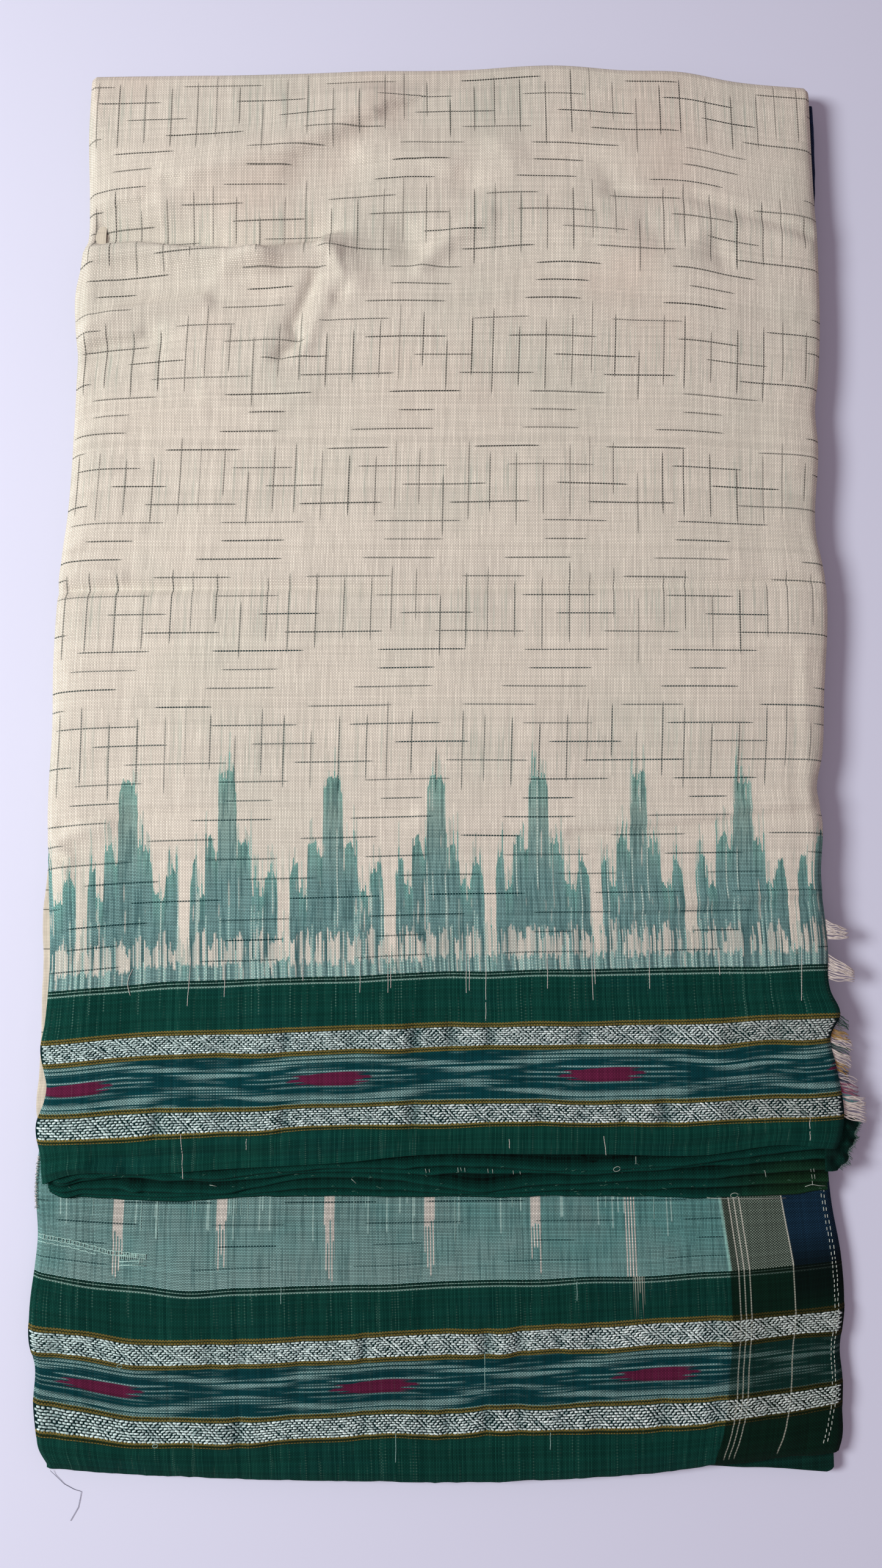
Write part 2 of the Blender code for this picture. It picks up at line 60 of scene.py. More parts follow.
BORDER = 82.5
LOWER_LENGTH = 154.5
DOBBY_BANDS = ((20.2, 26.9), (52.3, 59.3))  # the raised floats, as distances from the selvedge
BAND_MIDDLE = 39.6  # the middle of the ikat band between them

# How far each edge stands outside half the pack's width: y, out
LEFT_UPPER = (
    (313, -3.2), (293, -2.8), (238, -3.8), (227, -2.2), (217, 0.2), (182, -1.1), (135, -0.9),
    (103, 0.4), (80, 2.5), (33, 4.3), (2, 3.6), (-25, 4.2), (-62, 2.7), (-106, 0.7), (-128, 1.8),
    (-140, 3.2), (-148, 1.6), (-155, 0.0), (-161, 0.8), (-170, 3.8), (-185, 1.4), (-195, 0.5),
)
RIGHT_UPPER = (
    (313, 1.6), (266, 2.5), (235, 3.6), (169, 1.5), (158, 0.1), (139, 0.9), (94, -1.1), (78, 1.8),
    (18, -0.1), (-6, -1.6), (-23, -4.7), (-36, -2.6), (-61, -3.9), (-93, -1.9), (-113, -1.2),
    (-123, 2.8), (-132, -1.8), (-145, 0.2), (-157, 2.2), (-172, 2.5), (-184, -1.5),
)
LEFT_LOWER = (
    (-166, 3.0), (-199, 5.2), (-221, 3.6), (-232, 4.4), (-251, 6.0), (-263, 5.5), (-272, 2.8),
    (-288, 2.7), (-299, 1.2), (-308, -0.7), (-313, -4.0),
)
RIGHT_LOWER = (
    (-166, -3.0), (-205, -1.2), (-229, 2.4), (-250, 3.0), (-268, 0.5), (-278, 1.3), (-291, 0.8),
    (-305, 0.2), (-310, -1.5),
)
# The far fold and the top cloth's own selvedge: x, y
FAR_FOLD = (
    (-172, 311.0), (-110, 313.0), (-42, 315.6), (6, 318.1), (52, 321.5), (82, 319.6), (111, 319.2),
    (136, 314.7), (174, 311.6),
)
TOP_FRONT = (
    (-172, -196.0), (-164, -192.8), (-125, -191.1), (-86, -188.6), (-47, -186.6), (-7, -182.7),
    (32, -182.3), (72, -182.8), (112, -183.3), (152, -179.0), (172, -181.3),
)
# Lines across each cloth: their distance from the selvedge, then their y at each share of the way across
SHARES = tuple(k / 8 for k in range(9))
TOP_LINES = (
    (18.3, (-179.2, -177.7, -175.1, -172.7, -171.8, -171.0, -171.5, -170.5, -168.9)),
    (28.4, (-166.3, -164.0, -163.0, -161.3, -159.4, -159.4, -159.5, -158.4, -156.2)),
    (50.6, (-147.5, -143.6, -142.2, -140.5, -139.1, -138.7, -138.6, -137.4, -135.3)),
    (61, (-135.8, -131.4, -130.0, -128.3, -127.2, -126.5, -125.5, -124.5, -122.7)),
    (80.05, (-117.1, -112.9, -110.9, -109.2, -107.5, -106.0, -105.5, -104.9, -103.4)),
    (145, (-47.5, -45.2, -44.1, -43.2, -41.9, -42.0, -41.2, -40.4, -39.5)),
    (257.5, (65.5, 66.0, 66.5, 67.3, 68.0, 68.4, 68.5, 68.3, 68.0)),
)
LOWER_LINES = (
    (0, (-314.3, -317.0, -318.9, -320.0, -321.0, -320.3, -318.1, -313.7, -309.5)),
    (18.3, (-301.5, -306.1, -306.0, -303.6, -302.8, -302.0, -300.9, -297.1, -290.7)),
    (28.4, (-285.3, -292.5, -294.0, -291.0, -290.4, -288.7, -287.1, -284.3, -279.4)),
    (50.6, (-267.7, -273.6, -273.8, -271.7, -270.8, -268.2, -267.1, -265.0, -260.6)),
    (61, (-255.3, -261.3, -261.2, -259.5, -258.0, -255.9, -254.0, -252.3, -248.2)),
    (80.05, (-235.8, -242.4, -243.6, -242.2, -240.4, -239.1, -238.5, -236.1, -231.9)),
    (124.5, (-196.0,) * 9),
    (154.5, (-166.0,) * 9),
)
# Long soft ridges and hollows of the top cloth and of the lower one: from, to, height, half width
CREASES = (
    ((-174, 226), (-86, 225), 1.3, 8.0),
    ((-86, 225), (-52, 229), 1.5, 8.0),
    ((-52, 228), (-45, 214), 1.8, 7.0),
    ((-61, 213), (-70, 184), -0.5, 5.0),
    ((-79, 206), (-85, 180), 0.8, 7.0),
    ((-36, 298), (-106, 274), 0.6, 12.0),
    ((-174, 70), (174, 73), 0.7, 4.0),
    ((-174, 85), (174, 87), 0.4, 5.0),
    ((-174, -39), (82, -38), 0.6, 6.0),
    ((82, -38), (168, -29), 0.6, 6.0),
    ((77, 261), (175, 243), 0.8, 8.0),
    ((-35, -184), (45, -184), 1.2, 15.0),
)
SWELLS = (
    ((-140, -228), (-90, -245), 0.5, 14.0),
    ((-150, -262), (-60, -268), -0.25, 9.0),
    ((10, -255), (60, -285), 0.45, 16.0),
    ((95, -245), (125, -290), 0.4, 14.0),
    ((150, -230), (150, -290), -0.2, 9.0),
)
# Height of each cloth by its distance from a side edge, and from the far fold or the front
TOP_BY_SIDE = ((0, 13.9), (1.2, 15.0), (3, 15.8), (6, 16.3), (30, 16.9), (60, 17.3))
TOP_BY_FOLD = ((0, 15.0), (8, 15.75), (20, 16.3), (60, 17.0), (120, 17.6))
LOWER_BY_SIDE = ((0, 6.3), (1.2, 7.4), (3, 8.15), (6, 8.4), (30, 8.8))
LOWER_BY_FRONT = ((0, 7.2), (2, 8.15), (6, 8.5), (20, 8.9))
LIE_START = -205.0  # y where the lower cloth comes out from under the selvedges
TUCKED = 8.2  # its height behind that

SELVEDGE_X = (
    -170.5, -168, -155, -140, -125, -110, -97, -80, -60, -40, -20, -7, 7, 20, 33, 45, 57, 73, 95, 113,
    135, 153, 166,
)
# Each one's node, top, how thick its roll looks and its front edge at each of those places
SELVEDGES = (
    ("mid_selvedge_1", 14.7, 0.5, (
        -192.5, -194.6, -193.2, -192.2, -192.6, -193.6, -193.8, -191.6, -189.8, -189.3, -189.2,
        -188.4, -188.2, -188.8, -189.8, -190.6, -190.8, -190.2, -188.6, -186.8, -184.2, -182.1,
        -181.0)),
    ("mid_selvedge_2", 13.4, 0.35, (
        -194.0, -196.0, -194.6, -193.4, -193.8, -194.6, -195.2, -193.4, -191.4, -191.2, -191.8,
        -192.4, -191.8, -192.0, -191.6, -191.6, -191.8, -191.6, -190.4, -188.8, -187.6, -186.2,
        -185.5)),
    ("mid_selvedge_3", 12.1, 0.65, (
        -198.0, -199.2, -198.4, -198.4, -199.4, -200.2, -200.0, -197.6, -194.0, -193.8, -195.0,
        -197.0, -199.0, -199.8, -198.0, -197.0, -196.4, -195.6, -194.6, -193.6, -192.4, -191.2,
        -190.6)),
    ("mid_selvedge_4", 10.8, 0.3, (
        -199.6, -200.9, -200.9, -201.6, -202.2, -202.2, -201.6, -200.6, -198.6, -198.4, -199.2,
        -200.4, -201.2, -201.2, -200.6, -199.8, -199.4, -199.2, -198.6, -198.4, -197.4, -196.6,
        -196.0)),
    ("mid_selvedge_5", 9.5, 0.5, (
        -200.4, -201.8, -202.4, -203.2, -204.0, -204.0, -202.8, -202.2, -202.2, -202.0, -202.2,
        -202.3, -202.4, -202.3, -202.2, -202.2, -202.1, -202.3, -202.6, -202.8, -202.3, -201.4,
        -199.8)),
)
# How far out the cream fold by the left edge reaches: y, x
LEFT_FOLD_X = (
    (15, -175.9), (-64, -176.2), (-80, -177.4), (-100, -176.5), (-117, -176.4), (-128, -176.3),
    (-136, -176.5), (-150, -176.7), (-157, -177.1), (-162, -177.3), (-166, -177.0), (-171, -175.6),
    (-181, -174.0), (-196, -173.0),
)
# Small pinches in the selvedges: which one, x, half width, how far up and how far out
PINCHES = (
    (2, -134, 3.2, 0.9, 1.2), (2, -128, 1.6, -0.5, 0.4), (2, -58, 6.0, 0.4, 0.0),
    (3, -163, 4.0, 0.8, 0.6), (0, -16, 4.0, 0.5, 0.3), (2, 12, 7.0, 0.6, 0.4), (1, 60, 9.0, 0.5, 0.5),
    (0, 84, 5.0, -0.5, 0.0), (0, 105, 8.0, 0.6, 0.6), (3, 92, 9.0, 0.6, 0.5), (1, 128, 7.0, 0.6, 0.6),
    (2, 118, 10.0, 0.5, 0.6), (4, 110, 6.0, 0.5, 0.4), (3, 148, 7.0, -0.5, 0.0),
    (4, -95, 12.0, 0.4, 0.2), (0, -150, 5.0, 0.7, 0.5), (1, -121, 7.0, 0.7, 0.5),
    (1, -76, 9.0, 0.8, 0.5), (3, -100, 9.0, -0.5, 0.0), (0, -62, 8.0, 0.6, 0.4),
    (2, -95, 6.0, 0.7, 0.7), (3, -30, 8.0, 0.5, 0.5), (1, 5, 6.0, -0.4, 0.0), (4, 30, 9.0, 0.4, 0.3),
)
# Where the first selvedge is lifted: x, half width, height
MOUTH = (5.0, 32.0, 0.9)
# How far the layers that do not show stand outside half the pack's width: y, left, right
HIDDEN_SIDES = (
    (330, -7.0, -2.0), (236, -7.2, -0.8), (170, -4.8, -3.0), (100, -3.4, -4.2), (30, -0.2, -4.5),
    (-35, -0.4, -7.5), (-100, -3.0, -5.8), (-160, -3.2, -5.6), (-203, -1.5, -4.6), (-250, -0.5, -1.5),
    (-290, -1.5, -2.8), (-309, -4.5, -4.8),
)

# Smaller folds pressed into the top cloth: the line, height, half width on its left and on its right
TOP_FOLDS = (
    (((-122, 264), (-76, 277), (-48, 291), (-36, 297)), 1.05, 13.0, 3.4),
    (((-70, 271), (-50, 280), (-40, 289)), -0.5, 4.0, 9.0),
    (((-132, 256), (-80, 271), (-36, 294)), 1.1, 26.0, 9.0),
    (((-120, 246), (-76, 256), (-50, 268)), -0.7, 9.0, 12.0),
    (((-38, 276), (-15, 277), (2, 271)), 0.5, 5.0, 2.5),
    (((-150, 212), (-110, 208), (-84, 206)), -1.0, 9.0, 12.0),
    (((-30, 232), (0, 226), (40, 228)), -0.6, 12.0, 10.0),
    (((30, 248), (70, 240), (110, 222)), 0.6, 14.0, 10.0),
    (((-176, 233), (-143, 234), (-126, 232), (-98, 231), (-61, 236)), -2.2, 9.0, 2.4),
    (((-178, 224), (-143, 229), (-117, 227), (-88, 226)), 1.4, 1.8, 6.0),
    (((-174, 222), (-143, 223), (-117, 223), (-83, 222)), 0.4, 6.0, 3.0),
    (((-106, 216), (-92, 225), (-72, 226), (-58, 229)), 0.6, 3.0, 4.0),
    (((-58, 230), (-53, 226), (-49, 217)), 0.8, 3.0, 1.6),
    (((-49, 222), (-46, 214), (-50, 206)), -0.6, 3.0, 2.5),
    (((-61, 216), (-67, 201), (-71, 192), (-68, 184), (-77, 176)), -1.0, 1.6, 3.0),
    (((-56, 205), (-62, 190), (-66, 178)), 0.5, 2.5, 4.0),
    (((-176, 186), (-153, 196), (-114, 204)), 1.0, 3.0, 4.0),
    (((-172, 181), (-158, 185), (-144, 187)), 0.6, 2.5, 1.5),
    (((-172, 176), (-158, 180), (-138, 185)), -1.4, 5.0, 8.0),
    (((8, 265), (10, 264)), -0.8, 7.0, 6.0),
    (((26, 281), (30, 277)), 0.7, 7.0, 7.0),
    (((-20, 240), (-17, 231)), -0.9, 6.0, 6.0),
    (((-12, 222), (2, 236), (19, 246)), 0.9, 3.5, 4.0),
    (((75, 269), (80, 264)), -0.5, 6.0, 5.0),
    (((94, 244), (99, 236)), -0.5, 6.0, 5.0),
    (((77, 262), (100, 257), (115, 259), (132, 253), (146, 249), (172, 241)), -0.7, 2.5, 4.5),
    (((118, 240), (132, 245), (150, 243), (172, 235)), 0.5, 3.0, 5.0),
    (((127, 231), (131, 227)), -0.7, 5.0, 5.0),
    (((-172, 137), (-157, 144), (-140, 147), (-113, 150)), 0.45, 2.0, 4.0),
    (((-110, 156), (-87, 148), (-62, 157)), 0.35, 3.0, 3.0),
    (((-172, 84), (-161, 91), (-139, 93)), 0.5, 2.0, 3.5),
    (((-175, 74), (-160, 75), (-146, 71)), 0.5, 2.0, 2.0),
    (((-178, 64), (-143, 66), (-108, 66), (-67, 67), (-36, 66), (47, 68), (131, 70), (178, 73)),
     -1.0, 2.6, 1.5),
    (((-178, 64), (-150, 66), (-120, 66)), -0.5, 3.0, 2.0),
    (((-177, 84), (-92, 84), (19, 85), (131, 88), (178, 90)), -0.45, 2.4, 1.8),
    (((-172, -44), (-165, -41), (-156, -38), (-132, -36), (-103, -35), (-62, -35), (-16, -35)),
     -0.7, 1.6, 2.6),
    (((-172, -48), (-160, -42), (-150, -41)), 0.9, 3.0, 4.0),
    (((-16, -42), (19, -42), (57, -41), (90, -39), (119, -36), (137, -32), (154, -30), (170, -28)),
     0.45, 3.0, 1.6),
    (((57, -44), (90, -42), (119, -39), (137, -36), (170, -33)), -0.5, 1.6, 2.5),
    (((163, 40), (163, 2), (163, -25), (164, -47), (164, -75), (165, -100)), 0.3, 2.5, 4.0),
    (((158, 40), (158, 2), (158, -25), (159, -47), (159, -75)), -0.2, 3.5, 2.5),
    (((87, -80), (106, -80), (118, -77), (141, -75), (156, -73), (168, -72)), -0.45, 1.6, 3.0),
    (((87, -77), (118, -74), (141, -72), (168, -69)), 0.35, 3.0, 1.6),
    (((-174, -49), (-168, -53), (-165, -57)), 0.7, 1.4, 1.4),
    (((-174, -57), (-169, -60), (-165, -65)), 0.7, 1.4, 1.4),
    (((-174, -53), (-168, -57)), -0.5, 1.2, 1.2),
    (((-166, 300), (-165, 272), (-166, 248), (-166, 160)), 0.35, 2.0, 3.0),
    (((-172, -178), (-130, -176), (-80, -177), (-20, -176), (30, -180), (90, -178), (150, -172)),
     0.5, 2.0, 3.0),
    (((-150, -186), (-110, -183), (-60, -184), (-25, -181)), -0.6, 1.6, 2.2),
    (((60, -179), (100, -180), (140, -176)), -0.45, 2.0, 1.6),
    (((-171, -190), (-158, -188), (-140, -189)), 0.8, 2.0, 2.0),
)
# The same for the lower cloth
LOWER_FOLDS = (
    (((-174, -214), (-150, -216), (-128, -221)), 0.25, 4.0, 2.0),
    (((-170, -262), (-120, -276), (-95, -278)), 0.35, 4.0, 3.0),
    (((-66, -292), (-60, -268), (-58, -250)), -0.35, 3.0, 4.0),
    (((28, -292), (33, -268), (36, -250)), -0.4, 3.0, 4.0),
    (((58, -290), (60, -262)), -0.3, 3.0, 3.0),
    (((110, -296), (124, -270), (121, -240)), 0.3, 5.0, 3.0),
    (((-160, -306), (-110, -313), (-60, -314)), 0.3, 3.0, 3.0),
    (((60, -312), (100, -309), (150, -303)), 0.45, 3.0, 3.0),
    (((156, -310), (160, -296), (163, -270)), -0.3, 3.0, 3.0),
    (((-176, -234), (-165, -236), (-150, -243)), 0.3, 2.0, 3.0),
)
# Where the dobby bands are gathered: x, how much on the near and on the far band, half width
TOP_PUCKERS = (
    (-124, 0.7, 0.0, 3.0), (-69, 0.6, 0.6, 2.5), (-13, 0.8, 0.9, 3.2), (-6, 0.2, 0.3, 2.0),
    (3, 0.2, 0.7, 3.0), (20, 0.2, 0.6, 3.0), (60, 0.3, 0.6, 3.5), (77, 0.4, 0.2, 2.5),
    (96, 0.8, 0.5, 4.0), (126, 0.3, 0.3, 4.0), (-96, 0.2, 0.2, 4.0), (-40, 0.2, 0.3, 4.0),
    (148, 0.2, 0.4, 3.0), (42, 0.4, 0.1, 3.0),
)
LOWER_PUCKERS = (
    (-166, 0.4, 0.4, 4.0), (-100, 0.1, 0.4, 4.0), (-87, 0.6, 0.4, 3.0), (-34, 0.3, 0.6, 2.5),
    (2, 0.5, 0.2, 3.0), (19, 0.6, 0.7, 3.0), (33, 0.4, 0.5, 3.0), (66, 0.3, 0.4, 3.0),
    (95, 0.5, 0.3, 4.0), (118, 0.5, 0.4, 4.0), (-126, 0.2, 0.2, 4.0), (-8, 0.3, 0.1, 3.0),
    (50, 0.2, 0.4, 3.0), (140, 0.2, 0.3, 4.0),
)

# Where the temple pattern has its spires and, between them, its undyed bars
TEMPLE_X = (
    -184.0, -159.3, -140.2, -114.5, -96.7, -71.2, -50.0, -24.5, -4.3, 19.6, 41.0, 66.9, 85.5, 108.2,
    132.9, 154.4, 176.0,
)
TEMPLE_PHASE = tuple(-4.0 + 0.5 * k for k in range(len(TEMPLE_X)))
# Height of the teal dye over one period, between two bars: share of the period, distance from the selvedge
TEMPLE_TOP = (
    (0.0, 92), (0.055, 93), (0.06, 124), (0.10, 133), (0.15, 134), (0.155, 121), (0.24, 119),
    (0.25, 139), (0.33, 142), (0.38, 134), (0.405, 136), (0.41, 163), (0.45, 168), (0.55, 168),
    (0.59, 162), (0.595, 138), (0.66, 140), (0.72, 133), (0.73, 121), (0.82, 119), (0.84, 128),
    (0.90, 131), (0.94, 124), (0.945, 93), (1.0, 92),
)
# The undyed patches under the teal: share of the period, distance of the patch's upper edge
TEMPLE_FOOT = (
    (0.0, 97), (0.06, 97), (0.08, 94), (0.12, 95), (0.14, 98), (0.24, 99), (0.27, 94), (0.32, 93),
    (0.34, 96), (0.45, 98), (0.48, 95), (0.53, 94), (0.55, 97), (0.64, 96), (0.67, 93), (0.72, 94),
    (0.74, 97), (0.84, 98), (0.87, 95), (0.92, 93), (0.94, 96), (1.0, 97),
)
TEMPLE_AT = 130.0  # how far from the selvedge those places are taken
BARS_AT = 112.0  # the same for the bars of the lower cloth
LOWER_BARS_X = (-186.0, -140.9, -96.3, -49.6, -6.2, 40.3, 81.3, 128.0, 172.0)
# Middles of the lozenges in the border's ikat band
TOP_LOZENGES = (-278.0, -159.2, -48.6, 70.4, 189.0)
LOWER_LOZENGES = (-262.0, -144.6, -27.9, 94.0, 212.0)
# The undyed streaks of the ikat band: share of the half period from a lozenge, distance from its middle
BAND_STREAKS = ((0.0, 9.2), (0.3, 9.0), (0.55, 6.8), (0.8, 4.4), (1.0, 3.2))

# The dyed weft lines: how often they repeat and where the first one is; each one's x in a repeat, its
# length, its shift towards the far fold and its strength
WEFT_REPEAT = 89.4
WEFT_START = -167.1
WEFT_LINES = (
    (0.0, 31, 0.0, 0.95), (9.6, 33, 1.0, 0.9), (21.9, 29, -3.0, 0.8), (34.3, 29, -3.0, 0.95),
    (46.7, 32, 0.0, 0.9), (55.6, 32, 4.0, 0.75), (66.6, 23, 4.0, 0.9), (77.7, 27, -9.0, 0.85),
)
WEFT_ROWS = (64.0, 123.0, 182.2, 248.3, 306.8, 367.0, 431.5, 489.5, 548.0)
WEFT_PERIOD = 59.0
WEFT_PITCH = 11.2  # about from line to line
WEFT_AT = 366.0  # how far from the selvedge their places are taken
LONGEST = 50.0  # dash lengths go into the nodes as shares of this one
FURTHEST = 40.0  # shifts go into the nodes as shares of this one
# The dyed warp dashes: their rows are a pitch apart, with a period along S. Each row, going up: where its
# dashes have their middle in the period, then their length
WARP_PITCH = 8.6
WARP_PERIOD = 68.0
WARP_START = 4.3
WARP_ROWS = ((0.98, 32), (0.74, 35), (0.37, 32), (0.66, 32), (0.76, 24), (0.82, 36), (0.28, 40))


def smooth(table, at):
    """Reads a curve through a table's two columns, smooth at every row."""
    rows = np.array(sorted(table), float)
    place, value = rows[:, 0], rows[:, 1]
    slope = np.gradient(value, place)
    at = np.clip(np.asarray(at, float), place[0], place[-1])
    i = np.clip(np.searchsorted(place, at) - 1, 0, len(place) - 2)
    step = place[i + 1] - place[i]
    k = (at - place[i]) / step
    start = (1 + 2 * k) * (1 - k) ** 2 * value[i] + k * (1 - k) ** 2 * step * slope[i]
    end = k * k * (3 - 2 * k) * value[i + 1] - k * k * (1 - k) * step * slope[i + 1]
    return start + end


def side_x(left, right, y):
    """The left and right edges at y, from their tables."""
    return -HALF - smooth(left, y), HALF + smooth(right, y)


def run_between(left_table, right_table, y, shares):
    """X of every point and of both edges: the edges waver, and the threads inside run nearly straight."""
    left, right = side_x(left_table, right_table, y)
    mean_left, mean_right = np.zeros_like(left), np.zeros_like(right)
    for step in range(-3, 4):
        near_left, near_right = side_x(left_table, right_table, y + 16.0 * step)
        mean_left += near_left / 7
        mean_right += near_right / 7
    x = mean_left + shares * (mean_right - mean_left)
    by_left = np.exp(-shares * PACK_WIDTH / 14)
    by_right = np.exp((shares - 1) * PACK_WIDTH / 14)
    x += (left - mean_left) * by_left + (right - mean_right) * by_right
    return x, left, right


def across(lines, shares):
    """Y of each line at each share of the way across: lines by shares."""
    return np.array([smooth(tuple(zip(SHARES, ys)), shares) for _, ys in lines])


def front_y(shares):
    """Y of the lower cloth's selvedge at each share of the way across."""
    return smooth(tuple(zip(SHARES, LOWER_LINES[0][1])), shares)


def rows_y(distances, places, lines):
    """Y of every point of a grid by its distance from the selvedge, from lines at some distances."""
    return np.stack([np.interp(distances, places, line) for line in lines.T], axis=1)


def top_rows_y(distances, shares):
    """The same for the top cloth, whose own selvedge and far fold have their own tables."""
    x = -HALF + shares * PACK_WIDTH
    places = [0.0] + [row[0] for row in TOP_LINES] + [TOP_LENGTH]
    lines = np.vstack([smooth(TOP_FRONT, x), across(TOP_LINES, shares), smooth(FAR_FOLD, x)])
    return rows_y(distances, places, lines)


def pressed(table, x, y):
    """How much the ridges and hollows of a table lift the cloth at each place."""
    lift = np.zeros_like(x)
    for start, end, height, width in table:
        lift += height * np.exp(-((away_from((start, end), x, y)[0] / width) ** 2))
    return lift


def away_from(line, x, y):
    """Distance of each place from a line of points, and whether it lies to the line's left."""
    best = np.full_like(x, 1e9)
    left = np.zeros_like(x, bool)
    for (ax, ay), (bx, by) in zip(line, line[1:]):
        rx, ry = bx - ax, by - ay
        k = np.clip(((x - ax) * rx + (y - ay) * ry) / (rx * rx + ry * ry), 0, 1)
        dx, dy = x - ax - k * rx, y - ay - k * ry
        d = np.hypot(dx, dy)
        nearer = d < best
        best = np.where(nearer, d, best)
        left = np.where(nearer, rx * dy - ry * dx > 0, left)
    return best, left


def folds(table, x, y):
    """How much the small folds lift the cloth: each is steeper on one side than on the other."""
    lift = np.zeros_like(x)
    for line, height, left_width, right_width in table:
        d, left = away_from(line, x, y)
        lift += height * np.exp(-((d / np.where(left, left_width, right_width) / 1.15) ** 2))
    return lift


def rumple(x, y, size, seed):
    """Soft unevenness from -1 to 1, with hollows about a size apart."""
    rng = np.random.default_rng(seed)
    lattice = rng.uniform(-1, 1, (96, 96))
    u, v = x / size + 40.0, y / size + 40.0
    i, j = np.floor(u).astype(int), np.floor(v).astype(int)
    a, b = u - i, v - j
    a, b = a * a * (3 - 2 * a), b * b * (3 - 2 * b)
    i, j = i % 95, j % 95
    near = lattice[j, i] * (1 - a) + lattice[j, i + 1] * a
    far = lattice[j + 1, i] * (1 - a) + lattice[j + 1, i + 1] * a
    return near * (1 - b) + far * b


def rumple_at(x, y, size, seed):
    """The same unevenness at one place."""
    return rumple(np.array([x]), np.array([y]), size, seed)[0]


def soft_step(value, low, high):
    """0 below low, 1 above high and a smooth run between."""
    k = np.clip((value - low) / (high - low), 0, 1)
    return k * k * (3 - 2 * k)


def band(distance, low, high, edge=0.5):
    """1 inside a band of distances, 0 outside it."""
    return soft_step(distance, low - edge, low) * (1 - soft_step(distance, high, high + edge))


def puckered(table, x, distance):
    """How deep the dobby bands are gathered in at each place."""
    depth = np.zeros_like(x)
    for place, near, far, width in table:
        bump = np.exp(-(((x - place) / width) ** 2))
        for amount, (low, high) in zip((near, far), DOBBY_BANDS):
            depth += amount * bump * band(distance, low - 1.5, high + 1.5, 2.5)
    return depth


def gather_dobby(z, x, t, puckers, seed):
    """Raises the dobby bands in a cloth's heights, and gathers them in at the puckers."""
    for low, high in DOBBY_BANDS:
        raised = 0.5 + 0.35 * rumple(x, np.full_like(x, low), 9, seed)
        z = z + band(t, low - 1.6, high + 1.4) * raised
    return z - 2.0 * puckered(puckers, x, np.broadcast_to(t, x.shape))


def across_places():
    """Where a cloth has its points, as shares of its width and as S: closer by its rolled edges."""
    edge = [0.0, 0.35, 0.8, 1.4, 2.2, 3.2, 4.5]
    middle = np.linspace(6.0, PACK_WIDTH - 6.0, 181)
    places = np.array(edge + list(middle) + [PACK_WIDTH - e for e in reversed(edge)])
    return places / PACK_WIDTH, places - HALF


class Cloth:
    """A cloth as a grid of points in millimetres, with the place of each in the weave."""

    def __init__(self, s, t, points):
        self.s, self.t, self.points = s, t, points

    def at(self, s, t):
        """The points at these places in the weave."""
        s, t = np.asarray(s, float), np.asarray(t, float)
        i = np.clip(np.searchsorted(self.s, s) - 1, 0, len(self.s) - 2)
        j = np.clip(np.searchsorted(self.t, t) - 1, 0, len(self.t) - 2)
        a = ((s - self.s[i]) / (self.s[i + 1] - self.s[i]))[..., None]
        b = ((t - self.t[j]) / (self.t[j + 1] - self.t[j]))[..., None]
        p = self.points
        near = p[j, i] * (1 - a) + p[j, i + 1] * a
        far = p[j + 1, i] * (1 - a) + p[j + 1, i + 1] * a
        return near * (1 - b) + far * b

    def x_at(self, t, s):
        """X at one distance from the selvedge, for each place along the warp."""
        return np.interp(s, self.s, self.at(self.s, np.full(len(self.s), t))[:, 0])


def add_object(name, data):
    """A new object in the scene."""
    thing = bpy.data.objects.new(name, data)
    bpy.context.scene.collection.objects.link(thing)
    return thing


def new_piece(name, verts, faces, materials, attributes=None, chosen=None):
    """Makes a mesh piece from points in millimetres in the tables' frame."""
    mesh = bpy.data.meshes.new(name)
    placed = (np.asarray(verts, float) - (ORIGIN[0], ORIGIN[1], 0)) * MM
    mesh.from_pydata(placed.tolist(), [], [tuple(int(v) for v in f) for f in faces])
    for key, values in (attributes or {}).items():
        layer = mesh.attributes.new(key, "FLOAT_VECTOR", "POINT")
        layer.data.foreach_set("vector", np.asarray(values, np.float32).ravel())
    for material in materials:
        mesh.materials.append(material)
    if chosen is not None:
        mesh.polygons.foreach_set("material_index", np.asarray(chosen, np.int32))
    mesh.shade_smooth()
    mesh.update()
    piece = add_object(name, mesh)
    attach(piece, "root")
    return piece


def grid_faces(rows, columns, offset=0):
    """Quads of a grid whose points are listed row by row."""
    j, i = np.meshgrid(np.arange(rows - 1), np.arange(columns - 1), indexing="ij")
    first = offset + j * columns + i
    return np.stack([first, first + 1, first + columns + 1, first + columns], axis=-1).reshape(-1, 4)


def filled(shape, *values):
    """The values of a grid's points, several to a point."""
    return np.stack([np.broadcast_to(value, shape) for value in values], -1)


def grid_piece(name, node, points, materials, attributes, chosen=None, turned=False):
    """A grid of points as a mesh that takes the place of a solid."""
    faces = grid_faces(*points.shape[:2])
    faces = faces[:, ::-1] if turned else faces
    piece = new_piece(name, points.reshape(-1, 3), faces, materials, attributes, chosen)
    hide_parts(node)
    return piece


def srgb(red, green, blue):
    """A colour in sRGB, from 0 to 255, as the shader wants it."""
    out = []
    for channel in (red, green, blue):
        c = channel / 255
        out.append(c / 12.92 if c <= 0.04045 else ((c + 0.055) / 1.055) ** 2.4)
    return (*out, 1.0)


def wire(tree, socket, value):
    """Links a number or colour of the nodes to a socket, or sets a plain value on it."""
    if isinstance(value, Number):
        tree.links.new(value.socket, socket)
    else:
        socket.default_value = value


def new_shader(name):
    """A new material with its node tree and its shader."""
    material = bpy.data.materials.new(name)
    material.use_nodes = True
    return material, material.node_tree, material.node_tree.nodes["Principled BSDF"]


